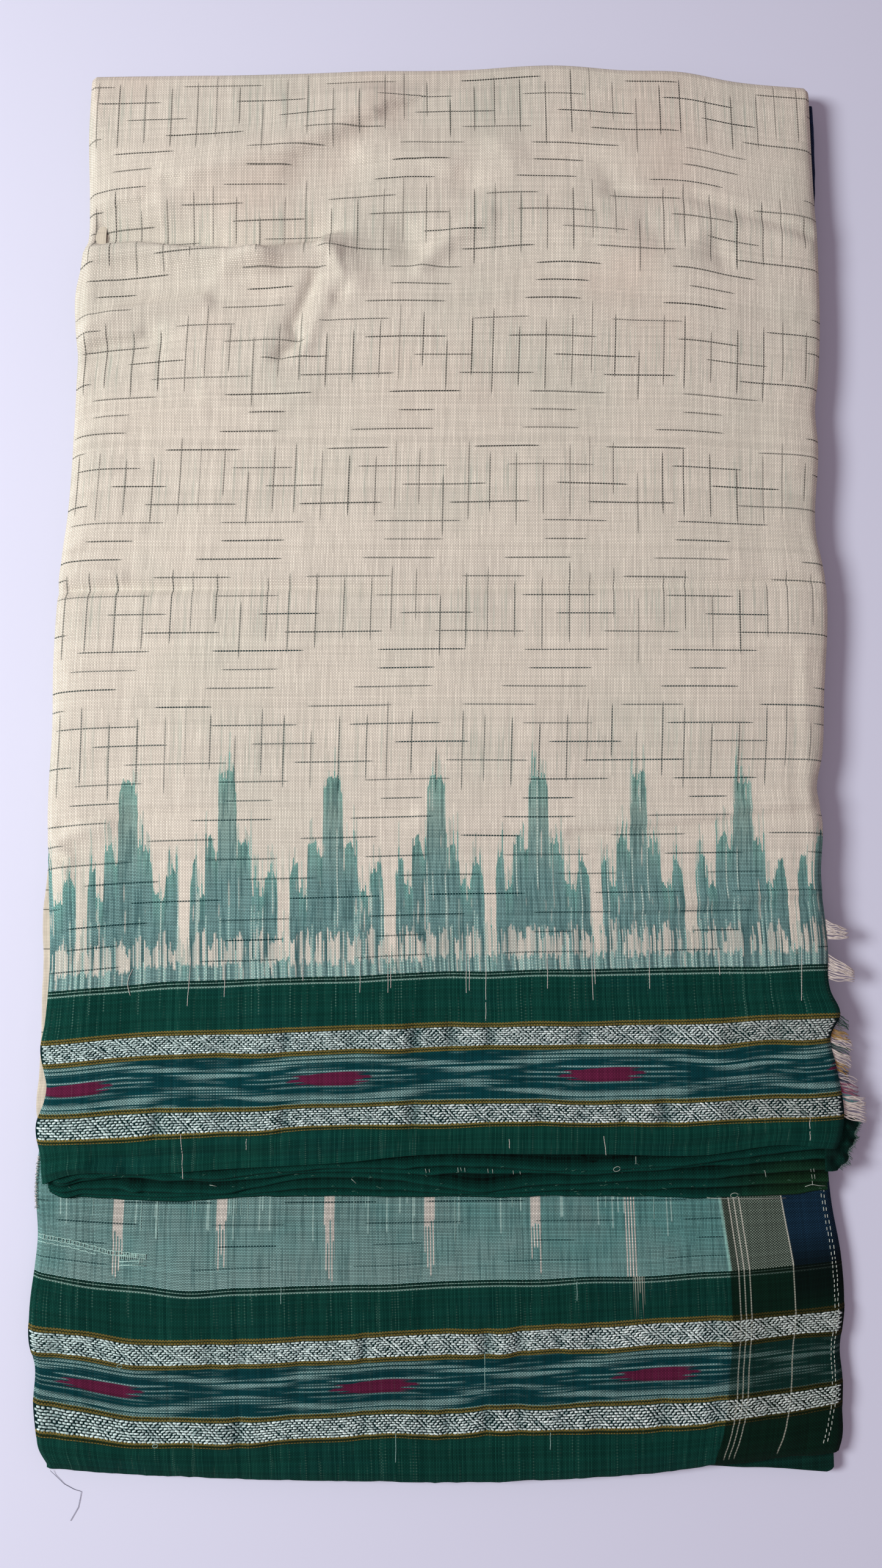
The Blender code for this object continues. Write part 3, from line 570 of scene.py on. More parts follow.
def set_plain(shader, **values):
    """Sets plain values on the shader's sockets, named with _ for a space."""
    for name, value in values.items():
        shader.inputs[name.replace("_", " ")].default_value = value


def add_bump(tree, shader, height, strength, depth):
    """Relief as deep as depth in millimetres."""
    bump = tree.nodes.new("ShaderNodeBump")
    set_plain(bump, Strength=strength, Distance=depth * MM)
    wire(tree, bump.inputs["Height"], height)
    tree.links.new(bump.outputs[0], shader.inputs["Normal"])


def calc(operation, a, b=0.0, c=0.0):
    """One sum of the nodes."""
    tree = next(v.tree for v in (a, b) if isinstance(v, Number))
    node = tree.nodes.new("ShaderNodeMath")
    node.operation = operation
    for socket, value in zip(node.inputs, (a, b, c)):
        wire(tree, socket, value)
    return Number(tree, node.outputs[0])


class Number:
    """A number or colour that varies over a surface."""

    def __init__(self, tree, socket):
        self.tree, self.socket = tree, socket

    def __add__(self, other):
        return calc("ADD", self, other)

    def __sub__(self, other):
        return calc("SUBTRACT", self, other)

    def __rsub__(self, other):
        return calc("SUBTRACT", other, self)

    def __mul__(self, other):
        return calc("MULTIPLY", self, other)

    def __truediv__(self, other):
        return calc("DIVIDE", self, other)

    __radd__ = __add__
    __rmul__ = __mul__


def rise(value, low, high):
    """0 where value is below low, 1 where it is above high."""
    node = value.tree.nodes.new("ShaderNodeMapRange")
    wire(value.tree, node.inputs["Value"], value)
    node.inputs["From Min"].default_value = low
    node.inputs["From Max"].default_value = high
    return Number(value.tree, node.outputs["Result"])


def nearest(value):
    return calc("ROUND", value)


def size_of(value):
    return calc("ABSOLUTE", value)


def most(*values):
    """The largest of some numbers."""
    largest = values[0]
    for value in values[1:]:
        largest = calc("MAXIMUM", largest, value)
    return largest


def waving(value):
    """A sine that goes up at one thread and down at the next."""
    return calc("SINE", value * (math.pi / PITCH))


def centred(value, amount):
    """Luck turned to plus or minus half an amount."""
    return (value - 0.5) * amount


def parts(vector):
    """The three numbers of a vector or colour."""
    node = vector.tree.nodes.new("ShaderNodeSeparateXYZ")
    wire(vector.tree, node.inputs[0], vector)
    return [Number(vector.tree, out) for out in node.outputs]


def join(a, b, c=0.0):
    """A vector from three numbers."""
    tree = a.tree
    node = tree.nodes.new("ShaderNodeCombineXYZ")
    for socket, value in zip(node.inputs, (a, b, c)):
        wire(tree, socket, value)
    return Number(tree, node.outputs[0])


def luck(a, b=0.0):
    """Three numbers from 0 to 1 that are the same wherever a and b are the same."""
    node = a.tree.nodes.new("ShaderNodeTexWhiteNoise")
    node.noise_dimensions = "2D"
    wire(a.tree, node.inputs["Vector"], join(a, b))
    return parts(Number(a.tree, node.outputs["Color"]))


def noise(vector, scale, detail=2.0):
    """Soft noise from 0 to 1."""
    node = vector.tree.nodes.new("ShaderNodeTexNoise")
    wire(vector.tree, node.inputs["Vector"], vector)
    node.inputs["Scale"].default_value = scale
    node.inputs["Detail"].default_value = detail
    return Number(vector.tree, node.outputs[0])


def stripes(value, length, rows):
    """Colours by distance: each row gives where its colour starts."""
    node = value.tree.nodes.new("ShaderNodeValToRGB")
    ramp = node.color_ramp
    ramp.interpolation = "CONSTANT"
    while len(ramp.elements) < len(rows):
        ramp.elements.new(0.5)
    for k, (start, colour) in enumerate(rows):
        ramp.elements[k].position = start / length
        ramp.elements[k].color = colour
    wire(value.tree, node.inputs[0], value / length)
    return Number(value.tree, node.outputs[0])


def read_table(value, rows):
    """Reads three numbers from 0 to 1 by a whole number below the table's length."""
    return parts(stripes(value + 0.5, len(rows), [(k, (*row, 1.0)) for k, row in enumerate(rows)]))


def read_curve(value, rows, low, high):
    """Reads a curve with straight runs: shares from 0 to 1, then values between low and high."""
    node = value.tree.nodes.new("ShaderNodeFloatCurve")
    points = node.mapping.curves[0].points
    while len(points) < len(rows):
        points.new(0.5, 0.5)
    for point, (share, height) in zip(points, rows):
        point.location = (share, (height - low) / (high - low))
        point.handle_type = "VECTOR"
    node.mapping.update()
    wire(value.tree, node.inputs["Value"], value)
    return Number(value.tree, node.outputs[0]) * (high - low) + low


def mix(factor, a, b):
    """A colour between a and b."""
    tree = factor.tree
    node = tree.nodes.new("ShaderNodeMix")
    node.data_type = "RGBA"
    wire(tree, node.inputs[0], factor)
    wire(tree, node.inputs[6], a)
    wire(tree, node.inputs[7], b)
    return Number(tree, node.outputs[2])


def shade(colour, amount):
    """A colour made lighter or darker by a number."""
    node = amount.tree.nodes.new("ShaderNodeVectorMath")
    node.operation = "SCALE"
    wire(amount.tree, node.inputs[0], colour if isinstance(colour, Number) else colour[:3])
    wire(amount.tree, node.inputs["Scale"], amount)
    return Number(amount.tree, node.outputs[0])


class Weave:
    """A cloth material: its thread places and its crossings, and at the end its shader."""

    def __init__(self, name):
        self.material, self.tree, self.shader = new_shader(name)
        self.s, self.t, self.phase = parts(self.attribute("cloth"))
        self.place = join(self.s, self.t)
        # Where the wave is positive the warp lies over the weft
        self.wave = waving(self.s) * waving(self.t)
        self.over = rise(self.wave, -0.4, 0.4)
        self.knuckle = size_of(self.wave)
        # Painted shade between the threads: 0 in the gaps, 1 on the threads; the materials darken their
        # colours by it
        self.gap = rise(self.knuckle, 0.0, 0.5)
        self.rib = size_of(waving(self.s))
        # 1 on each warp thread, 0 between the rows: the materials mix their pale warp with the dyed weft by
        # it, and the dark between the rows is partly painted shade
        self.row = rise(size_of(waving(self.t + waving(self.s) * 0.15)), 0.3, 0.9)
        self.weft = calc("FLOOR", self.s / PITCH)
        self.warp = calc("FLOOR", self.t / PITCH)
        # Three numbers by luck for each weft thread, and three for each warp thread
        self.by_weft = luck(self.weft + 0.5)
        self.by_warp = luck(self.warp + 0.5)

    def attribute(self, name):
        node = self.tree.nodes.new("ShaderNodeAttribute")
        node.attribute_name = name
        return Number(self.tree, node.outputs["Vector"])

    def along_weft(self, stretch, detail):
        """Noise that runs along each weft thread."""
        return noise(join(self.weft * 0.77, self.t * stretch), 1.0, detail)

    def finish(self, colour, relief, height=None):
        """Sets the colour, the thread relief in millimetres and the sheen of cotton."""
        wire(self.tree, self.shader.inputs["Base Color"], colour)
        add_bump(self.tree, self.shader, self.knuckle if height is None else height, relief, 0.14)
        set_plain(self.shader, Roughness=0.9, Specular_IOR_Level=0.05)
        set_plain(self.shader, Sheen_Weight=0.015, Sheen_Roughness=0.5)
        return self.material


def warp_dashes(w):
    """The dashes dyed into the warp: how dark each place is."""
    at = (w.t - WARP_START) / WARP_PITCH
    row = nearest(at)
    table = [(middle, length / LONGEST, 0.0) for middle, length in WARP_ROWS]
    middle, length, _ = read_table(calc("FLOORED_MODULO", row, float(len(table))), table)
    along = w.s / WARP_PERIOD - middle
    turn = nearest(along)
    chance = luck(row + 0.37, turn + 0.21)
    off = size_of(along - turn + centred(chance[0], 0.09)) * WARP_PERIOD
    spare = length * (LONGEST / 2) - off + centred(chance[1], 7.0)
    thick = rise(spare, -0.5, 3.0) * 0.2 + 0.12
    on_row = rise(thick - size_of(at - row) * WARP_PITCH, -0.06, 0.06)
    dots = rise(calc("SINE", w.s * (math.pi / PITCH) + row * 2.0), -0.7, -0.2)
    return on_row * rise(spare, -0.4, 0.8) * (dots * 0.55 + 0.45) * (chance[2] * 0.3 + 0.7)


def weft_lines(w, line, at_row):
    """The lines dyed into the weft: how dark each place is."""
    k = nearest(line)
    table = [(row[1] / LONGEST, row[2] / FURTHEST + 0.5, row[3]) for row in WEFT_LINES]
    length, shift, strength = read_table(calc("FLOORED_MODULO", k, float(len(table))), table)
    at = at_row - (shift - 0.5) * (FURTHEST / WEFT_PERIOD)
    turn = nearest(at)
    chance = luck(k + 0.43, turn + 0.11)
    off = size_of(at - turn + centred(chance[0], 0.10)) * WEFT_PERIOD
    spare = length * (LONGEST / 2) - off + centred(chance[1], 6.0)
    thick = rise(spare, -0.5, 3.5) * 0.2 + 0.11
    on_line = rise(thick - size_of(line - k) * WEFT_PITCH, -0.06, 0.06)
    dots = rise(calc("SINE", w.t * (math.pi / PITCH) + k * 2.0), -0.75, -0.25)
    return on_line * rise(spare, -0.4, 0.8) * (dots * 0.5 + 0.5) * strength * (chance[2] * 0.35 + 0.65)


def field_material():
    """The cream field with its dyed lines, and the temple pattern that stands on the border."""
    w = Weave("ikat_cotton")
    line, row, _ = parts(w.attribute("chart"))
    by_weft, by_warp = w.by_weft, w.by_warp
    pair = calc("FLOOR", w.s / (2 * PITCH))
    stretch = calc("FLOOR", w.t * 0.11 + luck(pair)[1])
    # Ribs of two threads: they raise the bump, and the colour is darkened between them as painted shade
    rib = size_of(calc("SINE", w.s * (math.pi / PITCH / 2)))
    rib = rib * (luck(pair + 0.2, stretch)[0] * 0.8 + 0.1) + 0.25
    # The undyed cloth, with faint green threads near the dyed lines
    slub = w.along_weft(0.05, 3.0)
    grain = centred(by_weft[0], 0.12) + centred(by_warp[0], 0.10) + centred(slub, 0.22) + 1.0
    ground = mix(w.over, srgb(196, 188, 172), srgb(224, 217, 202))
    cloud = noise(w.place, 0.016, 3.0)
    ground = mix(rise(cloud, 0.48, 0.74) * 0.3, ground, srgb(180, 186, 170))
    warm = rise(cloud, 0.47, 0.30) * rise(w.t, 300.0, 400.0)
    ground = mix(warm * 0.3, ground, srgb(204, 184, 168))
    in_rows = rise(size_of(row - nearest(row)), 0.34, 0.1) * rise(by_weft[1], 0.72, 0.8)
    ground = mix(in_rows * rise(slub, 0.4, 0.6) * 0.3, ground, srgb(112, 142, 128))
    ground = shade(ground, grain)
    # Where the temple pattern is dyed: up to its top, but for the patches and threads left undyed
    share = w.phase - nearest(w.phase) + 0.5
    high = read_curve(share, TEMPLE_TOP, 80.0, 180.0)
    stray = calc("POWER", by_weft[1], 8.0) * 12.0
    tallest = luck(nearest(w.phase) + 0.31)[0] * rise(high, 130.0, 150.0)
    top = high + centred(by_weft[0], 5.0) + stray + (tallest - 0.3) * 4.0
    under = top - w.t
    teal = rise(under, -0.3, 0.3)
    cluster = noise(join(w.weft * 0.17, w.t * 0.02), 1.0, 1.0) + centred(by_weft[0], 0.45)
    foot = read_curve(share, TEMPLE_FOOT, 80.0, 110.0) + centred(by_weft[2], 7.0) + 3.0
    patches = rise(foot - w.t, -0.4, 0.4) * rise(w.t - 87.0 - by_weft[1] * 4.0, -0.6, 0.6)
    patches = patches * rise(cluster, 0.38, 0.52) * 0.85
    tie = w.along_weft(0.04, 0.0)
    fine = rise(by_weft[0], 0.89, 0.91) * rise(tie, 0.48, 0.54) * 0.7
    streaks = most(rise(tie, 0.74, 0.78) * 0.6, fine)
    lone_top = 90.0 + calc("POWER", by_weft[1], 2.0) * 24.0
    lone = rise(by_weft[2], 0.70, 0.72) * rise(lone_top - w.t, -0.3, 0.3)
    undyed = most(patches, streaks, lone * (0.95 - w.over * 0.5))
    # Its dye, and the ghost of it above its top
    # Pale warp rows over the dyed weft, with painted shade between the rows
    spire = mix(w.row, srgb(6, 58, 56), srgb(166, 194, 182))
    body = mix(w.row, srgb(0, 30, 38), srgb(132, 174, 169))
    dye = mix(rise(w.t, 152.0, 122.0), spire, body)
    pale = mix(w.over, srgb(60, 134, 120), srgb(140, 192, 176))
    dye = mix(rise(under, 16.0, 0.0) * 0.45, dye, pale)
    dye = mix(rise(w.t, 96.0, 87.0) * 0.15, dye, srgb(146, 170, 162))
    dye = mix(rise(tie, 0.42, 0.34) * 0.45, dye, srgb(20, 66, 70))
    deep_thread = rise(by_weft[0], 0.34, 0.28) * rise(w.t, 108.0, 98.0)
    dye = mix(deep_thread * 0.42, dye, srgb(4, 54, 60))
    tone = centred(by_weft[1], 0.24) + centred(by_warp[1], 0.2) + 1.0
    # Random tone by thread, with painted shade between the threads
    dye = shade(dye, tone * (w.gap * 0.35 + 0.72))
    ghost = rise(top + by_weft[2] * 12.0 - w.t, -0.4, 0.4) * rise(by_weft[1], 0.45, 0.5) * 0.4
    single = most(lone, fine) * (1.0 - patches) * teal
    white = mix(w.over, srgb(104, 160, 150), srgb(208, 234, 222))
    ground = mix(single * 0.9, ground, white)
    cloth = mix(most(teal * (1.0 - undyed), ghost), ground, dye)
    # The dyed lines go over both
    ink = mix(rise(w.t, 190.0, 330.0), srgb(6, 46, 48), srgb(24, 32, 29))
    lines = most(weft_lines(w, line, row) * rise(w.t, 150.0, 160.0), warp_dashes(w))
    cloth = mix(lines, cloth, ink)
    # Painted shade between the threads and between the ribs
    cloth = shade(cloth, (w.gap * 0.6 + 0.55) * (rib * 0.2 + 0.88))
    return w.finish(cloth, 0.8, w.knuckle * 0.5 + rib * 0.6 + centred(by_weft[0], 0.3))


GOLD = srgb(119, 104, 50)
GOLD_DARK = srgb(34, 42, 16)
PALE = srgb(128, 162, 150)
DEEP = srgb(6, 40, 34)
GREEN = srgb(5, 60, 51)
BAND_BLUE = srgb(6, 62, 66)
BORDER_STRIPES = (
    (0.0, GREEN), (18.3, GOLD), (18.9, GOLD_DARK), (19.4, GOLD), (20.1, srgb(3, 30, 32)), (26.9, GOLD),
    (27.5, GOLD_DARK), (27.9, GOLD), (28.4, PALE), (28.9, BAND_BLUE), (50.6, GOLD), (51.2, GOLD_DARK),
    (51.6, GOLD), (52.3, srgb(3, 30, 32)), (59.3, GOLD), (59.9, GOLD_DARK), (60.4, GOLD), (61.0, GREEN),
    (79.4, PALE), (79.95, DEEP), (80.95, PALE), (81.5, DEEP),
)


def drifted(w, place):
    """Places by the sari's end, where the weft threads drift on their way to the selvedge."""
    drift = read_curve(w.t / 160.0, (
        (0.0, -2.8), (0.02, -2.3), (0.09, -0.2), (0.13, 0.2), (0.18, 0.6), (0.25, 1.0), (0.33, 2.2),
        (0.38, 2.7), (0.52, 2.7), (0.65, 0.8), (0.78, -0.9), (1.0, -1.6)), -5.0, 5.0)
    return place - drift


def end_wefts(w, place):
    """The white weft threads by the sari's end."""
    white = most(*(rise(size_of(place - at), 0.34, 0.16) for at in (125.2, 127.5, 129.9, 148.6)))
    return white * rise(waving(w.t), -1.1, -0.5)


def border_material(name, end_zone):
    """The border: green, with gold lines by its dobby bands and an ikat band between them."""
    w = Weave(name)
    place_x, _, lozenge = parts(w.attribute("chart"))
    place_x = drifted(w, place_x) if end_zone else place_x
    by_weft, by_warp = w.by_weft, w.by_warp
    # The ikat band
    from_middle = size_of(w.t - BAND_MIDDLE)
    in_band = rise(from_middle, 10.9, 10.7)
    shift = centred(by_warp[0], 0.11)
    share = size_of(lozenge - nearest(lozenge + shift) + shift) * 2.0
    path = read_curve(share, BAND_STREAKS, 0.0, 12.0)
    loose = noise(join(w.s * 0.045, w.warp * 0.77), 1.0, 1.0)
    streak = rise(size_of(from_middle - path), 2.6, 1.0) * rise(by_warp[1] + centred(loose, 0.8), 0.34, 0.44)
    thin = rise(size_of(from_middle - 3.4), 0.45, 0.3) * rise(share, 0.42, 0.36)
    tip = rise(size_of(from_middle - 1.0), 0.4, 0.3) * rise(share, 0.62, 0.55) * rise(share, 0.24, 0.28)
    pale = most(streak, thin, tip) * (by_warp[1] * 0.45 + 0.32)
    round_it = calc("POWER", share / 0.28, 2.0) + calc("POWER", from_middle / 3.0, 2.0)
    red = rise(round_it + centred(by_warp[2], 0.3), 1.12, 0.92)
    band_dye = mix(most(pale, rise(loose, 0.58, 0.72) * 0.3), BAND_BLUE, srgb(154, 194, 188))
    band_dye = mix(red, band_dye, srgb(98, 32, 62))
    warp_colour = mix(in_band, stripes(w.t, 90.0, BORDER_STRIPES), band_dye)
    # The weft, with undyed slubs
    blue = rise(noise(join(w.s * 0.35, w.t * 0.8), 0.05, 2.0), 0.52, 0.7)
    weft_colour = mix(blue, srgb(2, 41, 35), srgb(2, 37, 46))
    weft_colour = mix(in_band * 0.75, weft_colour, srgb(4, 36, 44))
    weft_colour = mix(in_band * red, weft_colour, srgb(70, 18, 44))
    slub = rise(by_weft[0] * 0.4 + w.along_weft(0.05, 1.0), 0.86, 1.0) * (1.0 - in_band * 0.6)
    weft_colour = mix(slub * 0.22, weft_colour, srgb(136, 170, 152))
    lone_foot = w.t - 82.0 + calc("POWER", by_weft[1], 7.0) * 24.0
    lone = rise(by_weft[2], 0.88, 0.89) * rise(lone_foot, -0.4, 0.4)
    if end_zone:
        lone = lone * rise(place_x, 121.0, 120.0) * 0.7
        end = rise(place_x, END_START, 121.8)
        last = rise(place_x, 148.6, 149.2)
        weft_colour = mix(end * 0.9, weft_colour, srgb(10, 33, 12))
        weft_colour = mix(last * rise(w.t, 58.0, 80.0) * 0.7, weft_colour, srgb(4, 18, 18))
        warp_colour = mix(end * 0.5, warp_colour, srgb(18, 42, 20))
        warp_colour = mix(last * rise(w.t, 58.0, 70.0) * 0.7, warp_colour, srgb(4, 16, 20))
    weft_colour = mix(lone * 0.3, weft_colour, srgb(160, 186, 172))
    colour = mix(rise(w.wave, -0.8, -0.1), weft_colour, warp_colour)
    fine = rise(w.rib, 0.55, 0.95) * by_weft[1] * rise(size_of(from_middle - 16.0), 5.2, 5.6)
    fine = fine * (1.0 - in_band) * (rise(place_x, 121.8, END_START) if end_zone else 1.0)
    colour = mix(fine * 0.22, colour, srgb(46, 98, 80))
    tone = centred(by_weft[1], 0.3) + centred(by_warp[2], 0.3) + 1.0
    # Random tone by thread and painted shade between the threads; the copy for the sari's end is painted
    # darker overall, as shade
    colour = shade(colour, tone * (w.gap * 0.65 + 0.5) * (0.82 if end_zone else 0.93))
    if end_zone:
        comb = size_of(calc("WRAP", place_x - 80.4, -0.5, 0.5)) * rise(size_of(place_x - 81.4), 2.6, 2.4)
        combed = rise(comb, 0.22, 0.34) * rise(w.t - by_weft[1] * 16.0, 59.0, 60.0) * rise(w.t, 60.0, 84.0)
        white = most(end_wefts(w, place_x) * rise(w.t, 2.0, 4.0) * 0.6, combed * 0.7)
        dark_end = end * (1.0 - in_band * 0.6) * 0.5
        colour = mix(white, shade(colour, 1.0 - dark_end), srgb(176, 178, 162))
    colour = shade(colour, centred(noise(w.place, 0.035, 2.0), 0.4) + 1.0)
    return w.finish(colour, 0.7)


def lower_field_material():
    """The field on the lower cloth: teal over cream, undyed bars and the end's stripes."""
    w = Weave("teal_field_cotton")
    place_x = drifted(w, parts(w.attribute("chart"))[0])
    by_weft, by_warp = w.by_weft, w.by_warp
    patch = rise(noise(w.place, 0.05, 2.0) + rise(place_x, -20.0, 110.0) * 0.35, 0.45, 0.85)
    light = mix(patch, srgb(132, 168, 162), srgb(108, 162, 156))
    deep = mix(patch, srgb(2, 36, 40), srgb(1, 36, 40))
    light = mix(rise(w.t, 100.0, 84.0) * 0.25, light, srgb(158, 182, 174))
    # Pale warp rows over the dyed weft, with painted shade between the rows
    colour = mix(w.row, deep, light)
    colour = mix(rise(w.along_weft(0.05, 0.0), 0.44, 0.34) * 0.35, colour, srgb(24, 66, 68))
    pale = rise(by_weft[2], 0.88, 0.89) * rise(w.t - 100.0 - by_weft[1] * 26.0, -0.3, 0.3)
    colour = mix(pale * rise(place_x, 120.0, 118.0) * 0.5, colour, srgb(176, 208, 198))
    # The undyed bars: solid, then every other thread runs on towards the border
    off = size_of(w.phase - nearest(w.phase))
    half = rise(size_of(w.phase - 7.0), 0.5, 1.5) * -0.002 + 0.052
    solid = rise(w.t - 105.0 - centred(by_weft[1], 10.0), -0.4, 0.4) * rise(w.phase, 5.6, 5.4)
    ends = 84.0 + by_weft[1] * 12.0 - rise(w.phase, 5.6, 5.8) * 20.0
    bar = rise(half - off, -0.004, 0.004) * most(solid, rise(waving(w.s), 0.0, 0.4))
    bar = bar * rise(w.t - ends, -0.4, 0.4)
    start = rise(place_x, END_START, 121.6)
    undyed = mix(w.over, srgb(176, 168, 156), srgb(206, 200, 190))
    colour = mix(bar * (1.0 - start) * (rise(w.rib, 0.15, 0.5) * 0.4 + 0.55), colour, undyed)
    colour = mix(warp_dashes(w) * 0.95, colour, srgb(5, 42, 44))
    olive = mix(w.over, srgb(16, 28, 25), srgb(114, 128, 114))
    olive = mix(rise(size_of(place_x - 124.2), 1.9, 1.5) * 0.6, olive, srgb(34, 44, 36))
    navy = mix(w.over, srgb(8, 26, 38), srgb(24, 52, 74))
    colour = mix(start, colour, olive)
    colour = mix(rise(size_of(place_x - 121.5), 0.9, 0.3) * 0.7, colour, srgb(140, 190, 178))
    navy = mix(rise(w.t, 100.0, 84.0) * 0.85, navy, srgb(3, 12, 14))
    colour = mix(rise(place_x, 148.7, 149.2), colour, navy)
    tone = centred(by_weft[1], 0.24) + centred(by_warp[0], 0.34) + 1.0
    # Random tone by thread, with painted shade between the threads
    colour = shade(colour, tone * (w.gap * 0.65 + 0.5))
    colour = mix(end_wefts(w, place_x) * 0.8, colour, srgb(196, 194, 180))
    return w.finish(colour, 0.7)


def plain_material(name, light, dark, relief=0.5, rolled=False):
    """Plain woven cotton of two close shades, with painted shade between its threads; rolled adds a painted
    highlight on the lip and painted shade behind and under it.
    """
    w = Weave(name)
    colour = mix(w.over, dark, light)
    tone = centred(noise(w.place, 0.12, 3.0), 0.6)
    if rolled:
        end = rise(w.s, 116.0, 150.0) * rise(w.phase, 0.5, 2.5)
        colour = mix(end * 0.8, colour, mix(w.over, srgb(7, 22, 8), srgb(18, 40, 18)))
        # Painted highlight along the rolled lip, painted shade in the valley behind it and painted shade on
        # its underside
        lip_highlight_and_valley_shade = rise(size_of(w.t - 1.0), 1.5, 0.2) * 0.8 - rise(w.t, 2.6, 6.0) * 0.6
        tone = tone + lip_highlight_and_valley_shade - rise(w.t, 0.0, -0.6) * 0.5
    tone = centred(w.by_weft[0], 0.4) + centred(w.by_warp[0], 0.4) + tone + 1.0
    return w.finish(shade(colour, tone * (w.gap * 0.25 + 0.82)), relief)


def fold_material():
    """The folded edges of the hidden layers: cream, teal or green by their distance from the selvedge."""
    w = Weave("folded_edges")
    green, gold, white = srgb(10, 72, 54), srgb(110, 92, 40), srgb(160, 184, 174)
    colour = stripes(w.t, 200.0, (
        (0.0, green), (18.3, gold), (20.0, white), (26.9, gold), (28.4, srgb(10, 76, 86)), (51.0, gold),
        (52.3, white), (59.3, gold), (61.0, green), (82.5, srgb(96, 148, 140)), (118.0, srgb(206, 197, 178)),
    ))
    at = (w.t - WARP_START) / WARP_PITCH
    row = nearest(at)
    on_row = rise(size_of(at - row) * WARP_PITCH, 0.28, 0.2) * rise(luck(row, w.phase)[0], 0.45, 0.5)
    colour = mix(on_row * rise(w.t, 84.0, 86.0) * 0.75, colour, srgb(50, 62, 54))
    tone = centred(w.by_weft[0], 0.2) + centred(noise(w.place, 0.2, 3.0), 0.4) + 0.95
    # Random tone, with painted shade between the threads
    return w.finish(shade(colour, tone * (w.gap * 0.5 + 0.6)), 0.6)


def thread_material(name, colour):
    """Spun cotton: a fine twist along each thread."""
    twist = 1.6
    material, tree, shader = new_shader(name)
    place = Number(tree, tree.nodes.new("ShaderNodeTexCoord").outputs["Object"])
    tone = centred(noise(place, 900.0, 2.0), 0.6) + 1.0
    wire(tree, shader.inputs["Base Color"], shade(colour, tone))
    wave = tree.nodes.new("ShaderNodeTexWave")
    set_plain(wave, Scale=1000.0 / twist / 6.3, Distortion=1.5)
    wire(tree, wave.inputs["Vector"], place)
    add_bump(tree, shader, Number(tree, wave.outputs["Fac"]), 0.4, 0.1)
    set_plain(shader, Roughness=0.75, Sheen_Weight=0.3, Specular_IOR_Level=0.25)
    return material


def temple_phase(x):
    return np.interp(x, TEMPLE_X, TEMPLE_PHASE)


def counted(at, places, first):
    """Counts along a row of places, the first of which counts as minus first."""
    return np.interp(at, places, np.arange(len(places)) - first)


def chart_of(line_x, t, band_x, lozenges):
    """The place of each point among the dyed lines: weft line, row of them, and lozenge."""
    places = [WEFT_START + turn * WEFT_REPEAT + row[0] for turn in range(-1, 5) for row in WEFT_LINES]
    lines = counted(line_x, places, float(len(WEFT_LINES)))
    return lines, counted(t, WEFT_ROWS, 2.0), counted(band_x, lozenges, 2.0)


def cloth_piece(name, node, s, t, points, phase, chart, materials):
    """A cloth as a mesh, with its places in the weave: the border's material, then the field's."""
    shape = points.shape[:2]
    attributes = {"cloth": filled(shape, s, t[:, None], phase), "chart": filled(shape, *chart)}
    chosen = np.repeat((t[:-1] + t[1:]) / 2 > BORDER, shape[1] - 1)
    return grid_piece(name, node, points, materials, attributes, chosen)


def with_lips(points, s):
    """Turns both side edges of a cloth under, as a fold does. Adds columns to the grid."""
    drop, inward = 0.6, 5.0
    left, right = points[:, 0], points[:, -1]
    made_left, made_right = [], []
    for angle in (35, 70, 105, 140, 175):
        a = math.radians(angle)
        out, down = drop * math.sin(a), drop * (1 - math.cos(a))
        made_left.append(left + (-out, 0, -down))
        made_right.append(right + (out, 0, -down))
    made_left.append(left + (inward, 0, -2 * drop))
    made_right.append(right + (-inward, 0, -2 * drop))
    grid = np.stack(made_left[::-1] + list(points.transpose(1, 0, 2)) + made_right, axis=1)
    past = np.array([0.35, 0.7, 1.05, 1.4, 1.75, 1.75 + inward])
    return grid, np.concatenate([s[0] - past[::-1], s, s[-1] + past])


